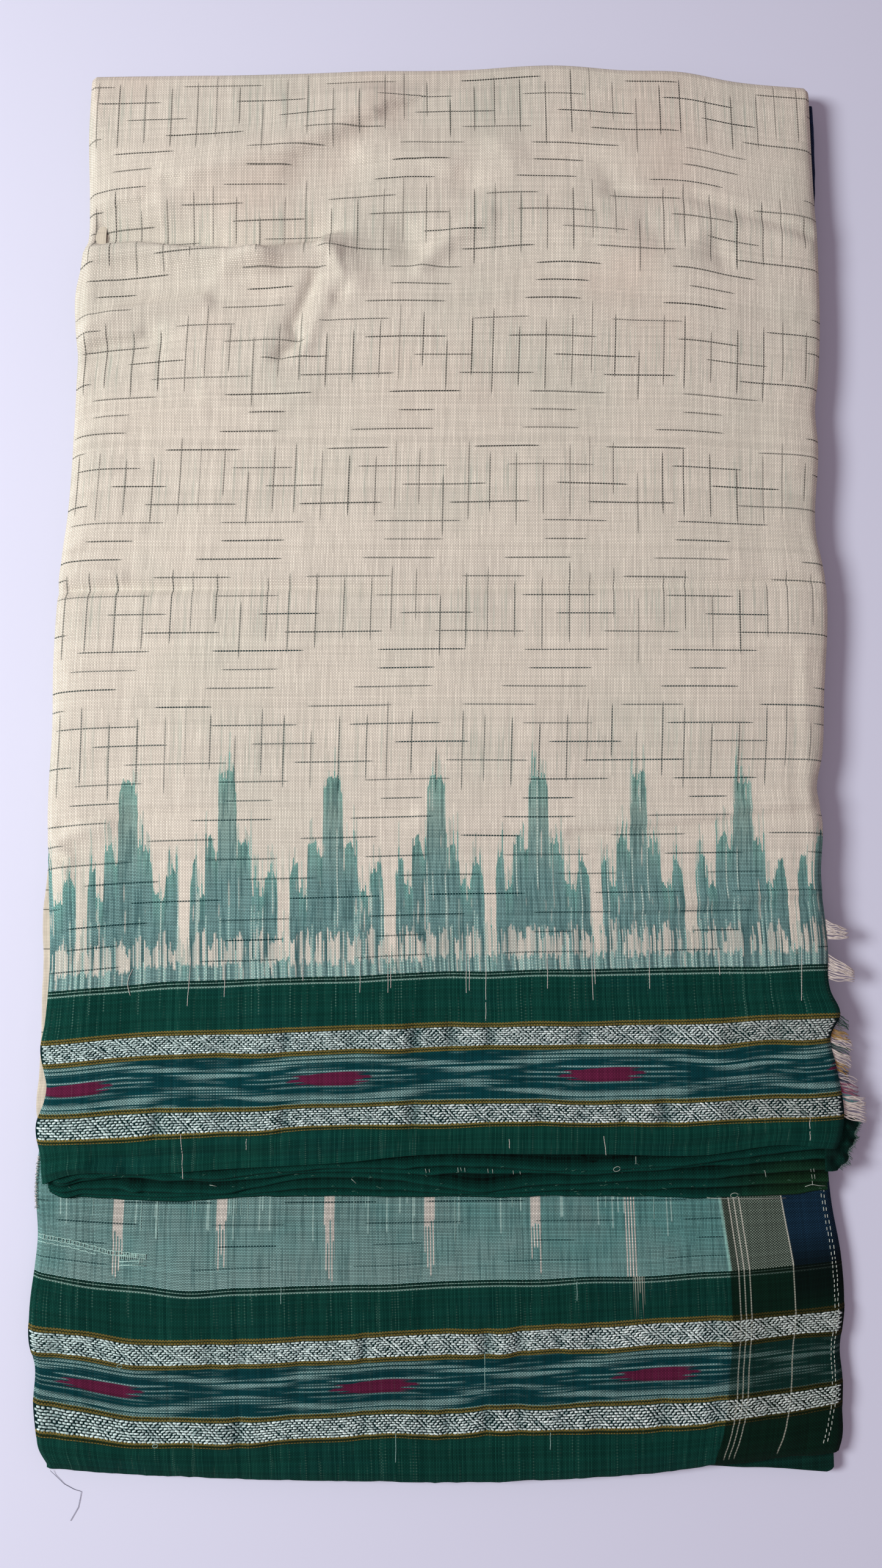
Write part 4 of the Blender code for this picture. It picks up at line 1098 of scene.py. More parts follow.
def top_cloth(materials):
    """The outermost panel: over the top and round the far fold to the table."""
    shares, s = across_places()
    key = [0.0, 0.4, 1.0, 1.8, 2.8, 4.0]
    t = np.array(key + list(np.linspace(5.5, BORDER, 44)) + list(np.linspace(BORDER, TOP_LENGTH, 226))[1:])
    tt = t[:, None]
    y = top_rows_y(t, shares)
    x, left, right = run_between(LEFT_UPPER, RIGHT_UPPER, y, shares)
    side = np.minimum(x - left, right - x)
    fold = np.maximum(smooth(FAR_FOLD, x) - y, 0)
    free = soft_step(fold, 2.0, 40.0) * soft_step(tt, 84.0, 130.0)
    sag = np.interp(y, (-40, 60, 130, 260), (0.8, 1.2, 2.6, 2.2))
    y = y - free * (sag * np.exp(-(x - left) / 9) + 0.8 * np.exp(-(right - x) / 9))
    lean = np.interp(x, (-172, -20, 60, 172), (-2.6, 2.6, 0.4, -1.6))
    y = y + free * soft_step(y, 110.0, 230.0) * (lean + 1.5 * rumple(x, y, 55, 2))
    z = np.minimum(smooth(TOP_BY_SIDE, side), smooth(TOP_BY_FOLD, fold)) + pressed(CREASES, x, y)
    calm = soft_step(side, 0.0, 6.0) * soft_step(fold, 0.0, 10.0)
    z += 2.2 * folds(TOP_FOLDS, x, y) * (0.45 + 0.55 * calm)
    uneven = 0.5 * rumple(x, y, 40, 3) + 0.3 * rumple(x * 0.6, y * 1.3, 19, 4) + 0.1 * rumple(x, y, 7, 5)
    z += uneven * calm
    z = gather_dobby(z, x, tt, TOP_PUCKERS, 23)
    y += 0.7 * rumple(x, y, 20, 8) * soft_step(tt, 6.0, 16.0) * (1 - soft_step(tt, 70.0, 120.0))
    # The selvedge rolls a little at the front
    roll = 1 - soft_step(tt, 0.0, 5.0)
    z -= roll * (0.7 + 0.35 * rumple(x, y, 26, 9))
    points = np.stack([x, y, z], -1)
    cloth = Cloth(s, t, points)
    lip = [points[0] + (0, 2.5, -0.9), points[0] + (0, 0.3, -0.75), points[0] + (0, -0.1, -0.35)]
    arc, arc_t = [], []
    last = points[-1]
    for angle in range(80, -91, -10):
        way = math.radians(angle)
        radius = last[:, 2] / 2
        wave = 1 + 0.02 * rumple(last[:, 0], np.full(len(last), float(angle)), 25, 11)
        made = last.copy()
        made[:, 1] += radius * math.cos(way) * wave
        made[:, 2] = radius + radius * math.sin(way)
        arc.append(made)
        arc_t.append(TOP_LENGTH + (90 - angle) * math.pi / 180 * 7.5)
    points = np.concatenate([np.array(lip), points, np.array(arc)])
    t = np.concatenate([[-3.0, -0.8, -0.4], t, arc_t])
    grid, s_all = with_lips(points, s)
    grid[:, :, 2] = np.maximum(grid[:, :, 2], 0.0)
    phase = temple_phase(cloth.x_at(TEMPLE_AT, s_all))
    chart = chart_of(cloth.x_at(WEFT_AT, s_all), t[:, None], cloth.x_at(BAND_MIDDLE, s_all), TOP_LOZENGES)
    return cloth_piece("top_cloth", "top_stretch", s_all, t, grid, phase, chart, materials), cloth


def lower_cloth(materials):
    """The panel of the longer half that shows in front of the fold."""
    shares, s = across_places()
    key = [0.0, 0.5, 1.2, 2.2, 3.5]
    t = np.array(key + list(np.linspace(5.0, BORDER, 46)) + list(np.linspace(BORDER, LOWER_LENGTH, 40))[1:])
    tt = t[:, None]
    y = rows_y(t, [row[0] for row in LOWER_LINES], across(LOWER_LINES, shares))
    x, left, right = run_between(LEFT_LOWER, RIGHT_LOWER, y, shares)
    # The near right corner is drawn in a little
    by_corner = 3.2 * soft_step(s, 80.0, 135.0) * (1 - soft_step(s, 140.0, 171.9))
    x = np.minimum(x - by_corner * (1 - soft_step(tt, 0.0, 34.0)), right)
    side = np.minimum(x - left, right - x)
    front = y - y[0]
    free = np.minimum(smooth(LOWER_BY_SIDE, side), smooth(LOWER_BY_FRONT, front)) + pressed(SWELLS, x, y)
    calm = soft_step(side, 0.0, 6.0) * soft_step(front, 0.0, 6.0)
    free += 1.6 * folds(LOWER_FOLDS, x, y) * calm
    uneven = 0.4 * rumple(x, y, 36, 13) + 0.25 * rumple(x, y * 1.3, 17, 14) + 0.1 * rumple(x, y, 7, 15)
    free += uneven * calm
    held = np.minimum(TUCKED, smooth(LOWER_BY_SIDE, side))
    share = np.clip((LIE_START - y) / 8.0, 0, 1)
    z = held + share * (np.maximum(free, held - 1.2) - held)
    z = gather_dobby(z, x, tt, LOWER_PUCKERS, 24)
    y += 0.8 * rumple(x, y, 22, 18) * soft_step(tt, 8.0, 18.0) * (1 - soft_step(tt, 80.0, 110.0))
    points = np.stack([x, y, z], -1)
    cloth = Cloth(s, t, points)
    frayed = 0.35 * rumple(x[0], y[0], 9, 21) + 0.2 * rumple(x[0], y[0], 3, 22)
    turn = []
    for back, down in ((3.0, 2.6), (0.6, 2.4), (-0.1, 1.7), (-0.35, 0.9), (-0.2, 0.35)):
        made = points[0].copy()
        made[:, 1] += back + frayed
        made[:, 2] -= down
        turn.append(made)
    points[0, :, 1] += frayed
    points = np.concatenate([np.array(turn), points])
    t = np.concatenate([[-4.0, -1.8, -1.2, -0.7, -0.3], t])
    grid, s_all = with_lips(points, s)
    by_bar = cloth.x_at(BARS_AT, s_all)
    chart = (by_bar, 0.0 * t[:, None], counted(cloth.x_at(BAND_MIDDLE, s_all), LOWER_LOZENGES, 2.0))
    phase = counted(by_bar, LOWER_BARS_X, 0.0)
    return cloth_piece("lower_cloth", "lower_stretch", s_all, t, grid, phase, chart, materials), cloth


# One float: the width and height along its section, and its length and fullness at its stations
FLOAT_SECTION = ((-1.0, 0.0), (-0.55, 0.8), (0.55, 0.8), (1.0, 0.0))
FLOAT_STATIONS = ((-0.84, 0.86), (0.0, 1.0), (0.86, 0.84))
FLOAT_PITCH = 2.0
FLOAT_ROW = 0.8
FLOAT_FOOT = -0.05


def float_faces(base):
    """The faces of one float, whose points start at base: its two tips and its skin."""
    n, m = len(FLOAT_SECTION), len(FLOAT_STATIONS)
    first, last = base + 1, base + 1 + (m - 1) * n
    faces = []
    for q in range(n - 1):
        faces.append((base, first + q + 1, first + q))
        faces.append((last + q, last + q + 1, first + m * n))
    for p in range(m - 1):
        for q in range(n - 1):
            a = first + p * n + q
            faces.append((a, a + 1, a + n + 1, a + n))
    return faces


def floats(name, cloth, puckers, seed, material):
    """The dobby bands' raised floats: short slanting threads in rows, each its own small ridge."""
    rng = np.random.default_rng(seed)
    verts, faces, marks = [], [], []
    full_turn = 2 * math.pi
    for low, high in DOBBY_BANDS:
        count = round((high - low) / FLOAT_ROW)
        for r in range(count):
            t0 = low + (r + 0.5) * (high - low) / count
            for k in range(int(PACK_WIDTH / FLOAT_PITCH)):
                s0 = -HALF + 1.2 + (k + 0.5 * (r % 2)) * FLOAT_PITCH + rng.uniform(-0.18, 0.18)
                turn = math.sin(full_turn * s0 / 12.5 + 1.3 * math.sin(s0 / 23.0) + math.pi * r / 4)
                steep = 0.14 + 0.10 * float(soft_step(s0, -60, 130)) + 0.08 * math.sin(s0 / 19.0 + low)
                slant = 0.8 * turn * steep
                dull = math.sin(full_turn * s0 / 9.7 - 1.4 * abs(r - 3.8) + 2 * math.sin(s0 / 31.0))
                dull = 0.5 + 0.5 * dull
                half = 0.92 + rng.uniform(-0.28, 0.18)
                wide = 0.29 + rng.uniform(-0.05, 0.05)
                tall = 0.5 + rng.uniform(-0.1, 0.1)
                lean = 0.9 * slant + rng.uniform(-0.1, 0.1)
                base = len(verts)
                verts.append((s0 - half, t0 - lean, FLOAT_FOOT))
                for a, full in FLOAT_STATIONS:
                    for b, h in FLOAT_SECTION:
                        verts.append((s0 + a * half, t0 + a * lean + b * wide * full, tall * h * full))
                verts.append((s0 + half, t0 + lean, FLOAT_FOOT))
                faces += float_faces(base)
                shade_of_it = rng.uniform(0.68, 1) - 0.55 * dull * rng.uniform(0.1, 1)
                marks += [(s0, t0, shade_of_it)] * (len(verts) - base)
    verts, marks = np.array(verts), np.array(marks)
    t, lift = verts[:, 1], verts[:, 2]
    points = cloth.at(np.clip(verts[:, 0], -HALF, HALF), t)
    depth = np.clip(1.3 * puckered(puckers, points[:, 0], t), 0, 1)
    points[:, 2] += lift * (1 - 0.35 * depth)
    # Painted shade: the floats sunk in the puckers are darkened
    marks[:, 2] *= 1 - 0.8 * depth
    return new_piece(name, points, faces, [material], {"cloth": marks})


def float_material():
    """The floats' thick thread: aqua white, duller by the sari's end, and darker by each float's mark: its
    own tone and, in the puckers, painted shade.
    """
    w = Weave("dobby_thread")
    tone = noise(w.place, 0.09, 2.0)
    aqua = mix(rise(w.s, 60.0, -140.0) * 0.6, srgb(234, 246, 241), srgb(214, 244, 238))
    # Darker by each float's mark, which holds its own tone and painted shade in the puckers
    colour = mix(w.phase, srgb(60, 96, 96), aqua)
    colour = mix(rise(tone, 0.35, 0.65) * 0.25, colour, srgb(160, 180, 176))
    colour = mix(rise(w.s, 116.0, 124.0) * 0.35, colour, srgb(120, 122, 108))
    wire(w.tree, w.shader.inputs["Base Color"], colour)
    set_plain(w.shader, Roughness=0.6, Sheen_Weight=0.2, Specular_IOR_Level=0.3)
    return w.material


# How far behind a selvedge's front its upper points lie, and how far back and down its lower ones do
SELVEDGE_BACK = (34.0, 24.0, 17.0, 12.0, 9.0, 7.0, 5.6, 4.6, 3.8, 3.1, 2.5, 2.0, 1.5, 1.1, 0.7, 0.4)
SELVEDGE_UNDER = ((0.15, 0.15), (0.0, 0.4), (0.0, 0.65), (0.2, 0.9), (0.8, 1.1), (3.0, 1.1), (12.0, 0.9))


def selvedge_piece(k, name, top, roll, edge, material):
    """One green selvedge between the top cloth and the lower one, with its soft rolled edge."""
    x_mouth, width, height = MOUTH
    x = np.linspace(SELVEDGE_X[0], SELVEDGE_X[-1] + 2.5, 230)
    front = smooth(tuple(zip(SELVEDGE_X, edge)), x) + 0.2 * rumple(x, x * 0, 6, 40 + k)
    lift = height * np.exp(-(((x - x_mouth) / width) ** 2)) if k == 0 else 0 * x
    lift = lift + 0.45 * rumple(x, x * 0, 30, 50 + k) + 0.12 * rumple(x, x * 0, 8, 60 + k)
    for which, place, half, up, out in PINCHES:
        if which == k:
            bump = np.exp(-(((x - place) / half) ** 2))
            lift += up * bump
            front -= out * bump
    fat = roll * (1 + 0.5 * rumple(x, x * 0, 18, 70 + k))
    rows, t = [], []
    for back in SELVEDGE_BACK:
        share = 1 - back / SELVEDGE_BACK[0]
        ridge = fat * (math.exp(-(((back - 1.6) / 1.5) ** 2)) - 0.7 * math.exp(-(((back - 5.2) / 1.8) ** 2)))
        crumple = 0.25 * rumple(x, np.full_like(x, back), 4, 90 + k)
        crumple += 0.5 * rumple(x * 0.45, np.full_like(x, back) + 0.08 * x, 5, 95 + k)
        crumple *= min(1.0, 0.25 + back / 2.5)
        rows.append(np.stack([x, front + back, top - 0.3 + lift * share + ridge + crumple], -1))
        t.append(back)
    z0 = top - 0.3 + lift + 0.5 * fat
    for back, down in SELVEDGE_UNDER:
        rows.append(np.stack([x, front + back, z0 - down], -1))
        t.append(-back - down)
    points = np.array(rows)
    marks = filled(points.shape[:2], x, np.array(t)[:, None], float(k))
    return grid_piece(name + "_cloth", name, points, [material], {"cloth": marks}, turned=True)


def hidden_x(y):
    """The left and right edges of the layers that do not show."""
    left, right = [smooth([(row[0], row[c]) for row in HIDDEN_SIDES], y) for c in (1, 2)]
    return -HALF - left, HALF + right


def low_distance(y):
    """Distance from the selvedge on the longer half's cloth, by Y."""
    return np.interp(y, (-318, -238, -196, -105, 318), (0, 82.5, 124.5, 210, 632))


# The section of a folded edge: how far in from its outermost line, and how far up or down
EDGE_LIP = ((5.0, 0.30), (0.7, 0.32), (0.15, 0.2), (0.0, 0.0), (0.15, -0.2), (0.7, -0.32), (5.0, -0.30))
FOLD_Y = 311.0  # Y where the nested folds start to turn down


def edge_side(k, low, high, side, stop):
    """One layer's edge along one side: over the top, round the far fold and back to stop."""
    middle, radius = (low + high) / 2, (high - low) / 2
    run = [(y, high, 0.0, 1.0) for y in np.linspace(-158, FOLD_Y, 118)]
    for angle in range(80, -81, -20):
        a = math.radians(angle)
        run.append((FOLD_Y + radius * math.cos(a), middle + radius * math.sin(a), math.cos(a), math.sin(a)))
    run += [(y, low, 0.0, -1.0) for y in np.linspace(FOLD_Y, stop, 153)]
    out = (-1.0, 1.0)[side]
    made = []
    for y, z, ny, nz in run:
        stand = 0.9 * rumple_at(y, z * 30.0, 26, 80 + k + 9 * side)
        stand += 0.25 * rumple_at(y, z * 30.0, 7, 95 + k)
        edge_z = z + 0.12 * rumple_at(y, z * 9.0, 18, 99 + k)
        distance = np.interp(y, (-196, -105, 67, 318), (0, 82.5, 257.5, 505)) if nz > 0 else low_distance(y)
        place = (hidden_x(y)[side] + out * (stand - 0.3), y, edge_z)
        made.append((place, (out, 0.0, 0.0), (0.0, ny, nz), distance))
    return made


def edge_front(k, low, left_x, right_x):
    """One layer's edge along the front, from one side to the other, with rounded corners."""
    corner = 9.0
    made = []
    for c in range(1, 90):
        share = c / 90
        x = left_x + share * (right_x - left_x)
        rim = float(front_y((x + HALF) / PACK_WIDTH)) + 1.6
        bend = corner * (1 - min(1.0, min(x - left_x, right_x - x) / corner)) ** 2.5
        stand = 0.8 * rumple_at(x, 0.0, 24, 120 + k)
        turn = np.array([(-1 if share < 0.5 else 1) * bend / corner, -1.0, 0.0])
        turn /= np.linalg.norm(turn)
        made.append(((x, rim + bend - stand * 0.5, low), tuple(turn), (0.0, 0.0, -1.0), 2.0 + bend))
    return made


def folded_edges(material):
    """The folded edges of the hidden layers: each lip runs round the pack, nested at the far fold."""
    verts, faces, marks = [], [], []
    stops = (float(front_y(0.0)) + 10.0, -301.0)
    count = len(EDGE_LIP)
    for k in range(7):
        low, high = 6.2 - 0.72 * k, 8.7 + 0.68 * k
        left, right = [edge_side(k, low, high, side, stops[side]) for side in (0, 1)]
        whole = left + edge_front(k, low, left[-1][0][0], right[-1][0][0]) + right[::-1]
        base = len(verts)
        for place, out, up, distance in whole:
            place, out, up = np.array(place), np.array(out), np.array(up)
            for back, rise_by in EDGE_LIP:
                verts.append(place - out * back + up * rise_by)
                marks.append((back * 1.5 + k * 31.0, distance, float(k)))
        faces += grid_faces(len(whole), count, base).tolist()
    piece = new_piece("folded_edges", verts, faces, [material], {"cloth": marks})
    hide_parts("hidden_layers")
    return piece


def low_sides(y):
    """The pack's left and right edges at any y, near the table."""
    upper = side_x(LEFT_UPPER, RIGHT_UPPER, y)
    lower = side_x(LEFT_LOWER, RIGHT_LOWER, y)
    share = np.clip((-160 - y) / 20.0, 0, 1)
    return [u + share * (w - u) for u, w in zip(upper, lower)]


def under_cloth(materials):
    """The panel that lies on the table."""
    shares = np.linspace(0, 1, 60)
    k = np.linspace(0, 1, 110)[:, None]
    back = smooth(FAR_FOLD, -HALF + shares * PACK_WIDTH)
    front = front_y(shares) + 1.0
    y = back + k * (front - back)
    left, right = low_sides(y)
    x = left + 1.0 + shares * (right - left - 2.0)
    side = np.minimum(x - left, right - x) - 1.0
    z = 0.9 * (1 - soft_step(side, 0.0, 3.0))
    points = np.stack([x, y, z], -1)
    distance = np.interp(y, (-318, -105, 318), (0, 210, 632))
    attributes = {"cloth": np.stack([x, distance, temple_phase(x)], -1),
                  "chart": np.stack(chart_of(x, distance, x, TOP_LOZENGES), -1)}
    chosen = (distance[:-1, :-1] > BORDER).ravel()
    return grid_piece("under_cloth", "under_stretch", points, materials, attributes, chosen)


def lip_bar(name, node, stations, material, seed, t_of, grain):
    """A folded edge that looks out. Stations: inner place, outer place, lowest and highest height."""
    stations = np.array([(*a, *b, low, high) for a, b, low, high in stations], float)
    along = np.append(0.0, np.cumsum(np.hypot(*np.diff(stations[:, 2:4], axis=0).T)))
    count = 1 + int(along[-1] / 1.2)
    travelled = np.linspace(0, along[-1], count)
    at = np.interp(travelled, along, np.arange(len(stations)))
    rows = np.stack([np.interp(at, np.arange(len(stations)), stations[:, c]) for c in range(6)], -1)
    points, marks = [], []
    uneven = 0.5 * rumple(travelled, travelled * 0, 14, seed)
    uneven += 0.2 * rumple(travelled, travelled * 0, 5, seed + 1)
    angles = (90, 65, 40, 15, -15, -40, -65, -90)
    for (ax, ay, bx, by, low, high), more, run in zip(rows, uneven, travelled):
        inner, outer = np.array([ax, ay]), np.array([bx, by])
        reach = float(np.linalg.norm(outer - inner))
        way = (outer - inner) / np.linalg.norm(outer - inner)
        middle, half = (low + high) / 2, (high - low) / 2
        points.append((*inner, high))
        for angle in angles:
            a = math.radians(angle)
            place = outer + way * (more * grain - half + half * math.cos(a))
            points.append((*place, middle + half * math.sin(a)))
        points.append((*inner, low))
        distance = run if t_of is None else float(t_of(ay))
        over = [0.0] + [reach + i * 0.4 for i in range(len(angles))] + [2 * reach + 2.8]
        marks += [(o, distance, 0.0) if t_of else (run, o, 0.0) for o in over]
    points = np.array(points).reshape(count, len(angles) + 2, 3)
    return grid_piece(name, node, points, [material], {"cloth": marks})


def torn_corner(material):
    """The raw corner of the end panel, drooping past the right edge, with its threads standing out."""
    edge = (
        (-166.5, 175.5), (-168.5, 182.0), (-172, 183.8), (-175, 181.8), (-178, 182.4), (-182, 179.0),
        (-185, 178.8), (-190.5, 172.0),
    )
    heights = ((166.8, 14.6), (170.5, 13.1), (173.0, 12.0), (182.5, 9.0))
    root_x = 166.0
    y = np.linspace(-166.5, -190.5, 60)
    tip = smooth(edge, y) + 0.6 * rumple(y, y * 0, 1.6, 140) + 0.35 * rumple(y, y * 0, 0.6, 142)
    k = np.linspace(0, 1, 34)[:, None]
    x = root_x + k * (tip - root_x)
    wide_y = np.broadcast_to(y, x.shape)
    crumple = 0.8 * np.sin(0.8 * y + 0.5 * x) + 0.9 * rumple(x, wide_y, 3.5, 141)
    z = np.maximum(smooth(heights, x) + crumple * np.minimum(1, 2 * k), 0.6)
    points = np.stack([x, wide_y, z], -1)
    marks = np.stack([x, wide_y + 200, 0 * x], -1)
    piece = grid_piece("torn_corner_cloth", "torn_corner", points, [material], {"cloth": marks})
    rng = np.random.default_rng(143)
    frayed = []
    for i in range(2, 58):
        for _ in range(2):
            root = points[-2, i] + (0, rng.uniform(-0.3, 0.3), 0)
            way = np.array([1.0, 0.25 - 0.02 * i + rng.uniform(-0.5, 0.5), -0.35])
            frayed.append(loose_thread(root, root + way * rng.uniform(0.5, 2.2), 0.1, 0.1, 5, rng))
    return piece, frayed


def tube(points, radius, sides, verts, faces, taper=0.35):
    """Adds a thread along a line of points to the lists of a mesh."""
    points = np.asarray(points, float)
    base = len(verts)
    along = np.gradient(points, axis=0)
    along /= np.linalg.norm(along, axis=1)[:, None] + 1e-9
    for i, (place, way) in enumerate(zip(points, along)):
        aside = np.cross(way, (0.0, 0.0, 1.0))
        aside = aside / np.linalg.norm(aside) if np.linalg.norm(aside) > 1e-3 else np.array([1.0, 0, 0])
        up = np.cross(aside, way)
        r = radius * (1 - taper * i / (len(points) - 1))
        for q in range(sides):
            a = 2 * math.pi * q / sides
            verts.append(place + r * (math.cos(a) * aside + math.sin(a) * up))
    last = base + (len(points) - 1) * sides
    for first in range(base, last, sides):
        for q in range(sides):
            n = (q + 1) % sides
            faces.append((first + q, first + n, first + sides + n, first + sides + q))
    faces.append(tuple(base + q for q in range(sides))[::-1])
    faces.append(tuple(last + q for q in range(sides)))


def loose_thread(root, tip, bow, wave, steps, rng):
    """The way of one loose thread from its root to its tip, bowed and a little wavy."""
    root, tip = np.array(root, float), np.array(tip, float)
    k = np.linspace(0, 1, steps)[:, None]
    way = tip - root
    aside = np.array([-way[1], way[0], 0.0])
    aside /= np.linalg.norm(aside) + 1e-9
    line = root + k * way
    waves = np.sin(2 * math.pi * k * rng.uniform(1.2, 2.4))
    line += aside * (bow * np.sin(math.pi * k) + wave * waves)
    line[:, 2:3] += 0.8 * np.sin(math.pi * k) + 0.25 * wave * np.sin(7 * k + rng.uniform(0, 6))
    line[:, 2] = np.maximum(line[:, 2], 0.35)
    return line


# Each cluster of the tufts and of the fringe: root y from and to, tip x, tip y from and to, number of
# threads, their radius, which thread and the height of their tips
UPPER_TUFT = ((-80.6, -90.5, 180.6, -85.5, -90.2, 22, 0.24, "undyed", 11.5),)
LOWER_TUFT = ((-96.0, -107.3, 183.0, -103.6, -108.6, 24, 0.24, "undyed", 11.2),)
FRINGE = (
    (-121.8, -126.5, 180.0, -126.5, -130.5, 9, 0.22, "green", 10.5),
    (-126.5, -129.0, 179.4, -128.5, -132.0, 7, 0.2, "grey", 10.3),
    (-129.0, -131.8, 180.6, -131.5, -136.0, 12, 0.24, "gold", 10.2),
    (-131.5, -134.8, 182.0, -135.0, -140.0, 12, 0.24, "undyed", 10.0),
    (-134.5, -138.0, 180.6, -138.5, -142.5, 9, 0.24, "green", 10.0),
    (-137.5, -142.0, 181.0, -141.5, -147.5, 15, 0.24, "undyed", 9.8),
    (-142.0, -146.0, 179.4, -145.5, -151.0, 12, 0.26, "gold", 9.8),
    (-146.0, -149.5, 179.8, -149.0, -154.5, 10, 0.24, "navy", 9.8),
    (-148.5, -153.5, 183.5, -152.0, -158.5, 9, 0.2, "undyed", 9.6),
    (-152.5, -156.5, 183.8, -155.0, -160.5, 10, 0.24, "magenta", 9.6),
    (-156.5, -159.5, 183.4, -158.5, -163.5, 10, 0.24, "teal", 9.6),
    (-158.5, -165.5, 187.0, -160.0, -170.5, 26, 0.28, "undyed", 9.6),
)


def tuft(name, node, clusters, threads, seed):
    """Fringe threads, a cluster at a time."""
    rng = np.random.default_rng(seed)
    kinds = list(dict.fromkeys(row[7] for row in clusters))
    verts, faces, chosen = [], [], []
    for y_a, y_b, tip_x, tip_a, tip_b, count, radius, kind, low in clusters:
        for k in range(count):
            share = (k + 0.5) / count
            y = y_a + share * (y_b - y_a) + rng.uniform(-0.3, 0.3)
            root_x = float(low_sides(np.array(y))[1]) - 1.6
            x = tip_x - 2.5 * rng.uniform(0, 1) ** 2
            tip = (x, tip_a + share * (tip_b - tip_a) + rng.uniform(-0.5, 0.5), low + rng.uniform(-0.6, 0.8))
            root = (root_x, y, 13.0 + rng.uniform(-0.5, 0.5))
            line = loose_thread(root, tip, rng.uniform(-0.8, 0.8), rng.uniform(0.1, 0.35), 14, rng)
            before = len(faces)
            tube(line, radius, 5, verts, faces)
            chosen += [kinds.index(kind)] * (len(faces) - before)
    piece = new_piece(name, verts, faces, [threads[kind] for kind in kinds], None, chosen)
    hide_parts(node)
    return piece


def laid_threads(name, lines, material, radius, sides=5):
    """Threads that lie on the cloth or the table, each along its own line of points."""
    verts, faces = [], []
    for line in lines:
        tube(line, radius, sides, verts, faces, taper=0.0)
    return new_piece(name, verts, faces, [material])


def resting(cloth, places, lift):
    """A line of points on a cloth, from its x and y: each takes the cloth's height and a little more."""
    places = np.array(places, float)
    spots = cloth.points.reshape(-1, 3)
    out = []
    for x, y in places:
        d = np.hypot(spots[:, 0] - x, spots[:, 1] - y)
        near = np.argpartition(d, 4)[:4]
        weight = 1 / (d[near] + 0.05)
        out.append((x, y, float((spots[near, 2] * weight).sum() / weight.sum()) + lift))
    return np.array(out)


def woven_line(cloth, start, end, seed):
    """A single pale thread from start to end that dips under the cloth at every other thread."""
    rng = np.random.default_rng(seed)
    length = math.hypot(end[0] - start[0], end[1] - start[1])
    count = max(6, int(length / PITCH * 2))
    k = np.linspace(0, 1, count)
    xs = start[0] + k * (end[0] - start[0]) + 0.05 * np.sin(k * 9 + rng.uniform(0, 6))
    ys = start[1] + k * (end[1] - start[1])
    line = resting(cloth, np.stack([xs, ys], -1), 0.0)
    line[:, 2] += np.where(np.arange(count) % 4 < 2, 0.16, -0.04)
    return line


def ring(x, y, z, wide, tall, turn):
    """A small loop of thread that lies on the cloth."""
    out = []
    for k in range(15):
        a = 2 * math.pi * k / 15
        px, py = wide * math.cos(a), tall * math.sin(a)
        across_it = px * math.cos(turn) - py * math.sin(turn)
        along_it = px * math.sin(turn) + py * math.cos(turn)
        out.append((x + across_it, y + along_it, z + 0.25 + 0.2 * math.sin(a)))
    return out


def on_cloth(cloth, places, lift):
    """Points at places in the weave, a little above the cloth."""
    places = np.array(places, float)
    points = cloth.at(places[:, 0], places[:, 1])
    points[:, 2] += lift
    return points


# The stitched line by the sari's end: T, then S
STITCH_T = (5, 20, 40, 60, 82, 100, 124)
STITCH_S = (164.8, 167.8, 168.2, 168.6, 168.6, 168.4, 167.8)


def running_stitch(cloth):
    """The double running stitch that hems the sari's end, seen as pairs of short stitches."""
    rng = np.random.default_rng(77)
    lines = []
    for row in (-0.7, 0.7):
        t = 5.0 + (0.5 if row > 0 else 0.0)
        while t < 122.0:
            s = float(np.interp(t, STITCH_T, STITCH_S)) + row
            on_field = t > 84
            long = (2.0 if on_field else 1.3) * rng.uniform(0.8, 1.15)
            s += rng.uniform(-0.15, 0.15)
            lines.append(on_cloth(cloth, ((s, t), (s + 0.05, t + long / 2), (s + 0.1, t + long)), 0.16))
            t += (3.3 if on_field else 2.3) * rng.uniform(0.92, 1.08)
    return lines


# White weft threads that run on over the border's edge, from (x, y) to (x, y)
CROSSING = (
    ((-111, -99), (-112, -120)), ((-96, -102), (-96, -116)), ((-37, -98), (-37, -114)),
    ((-24.8, -96), (-24.8, -114)), ((-23.6, -96), (-23.6, -112)), ((9.4, -96), (9.4, -114)),
    ((10.8, -96), (10.8, -113)), ((18, -96), (18, -117)), ((45, -95), (45, -112)),
    ((64.4, -92), (65, -117)), ((65.6, -92), (66, -110)), ((90, -94), (90, -112)),
    ((158, -89), (157, -117)), ((-62, -98), (-62, -109)), ((121, -94), (121, -106)),
    ((-113, -174), (-112, -193)), ((18, -118), (18, -126)), ((159, -166), (159, -172)),
    ((159, -173), (159, -177)), ((69, -175), (70, -183)), ((-85, -176), (-85, -181)),
    ((28, -176), (28, -180)),
)
# The same on the lower cloth, from the mid edge down
HANGING = (
    ((-152, -202), (-152, -210)), ((-131, -203), (-131, -216)), ((-124, -203), (-124, -220)),
    ((-109, -203), (-109, -211)), ((-107.6, -203), (-107.6, -209)), ((-92, -202), (-92, -210)),
    ((-90, -202), (-90, -210)), ((-88, -202), (-88, -210)), ((-85, -202), (-85, -212)),
    ((-39, -202), (-39, -208)), ((-34, -202), (-34, -207)), ((5, -202), (5, -221)),
    ((30, -202), (30, -207)), ((71, -202), (71, -207)), ((92, -202), (92, -212)),
    ((18, -268), (18, -283)), ((-70, -240), (-70, -247)), ((58, -238), (58, -246)),
    ((-20, -300), (-20, -312)), ((-106, -298), (-106, -306)), ((46, -300), (46, -307)),
)
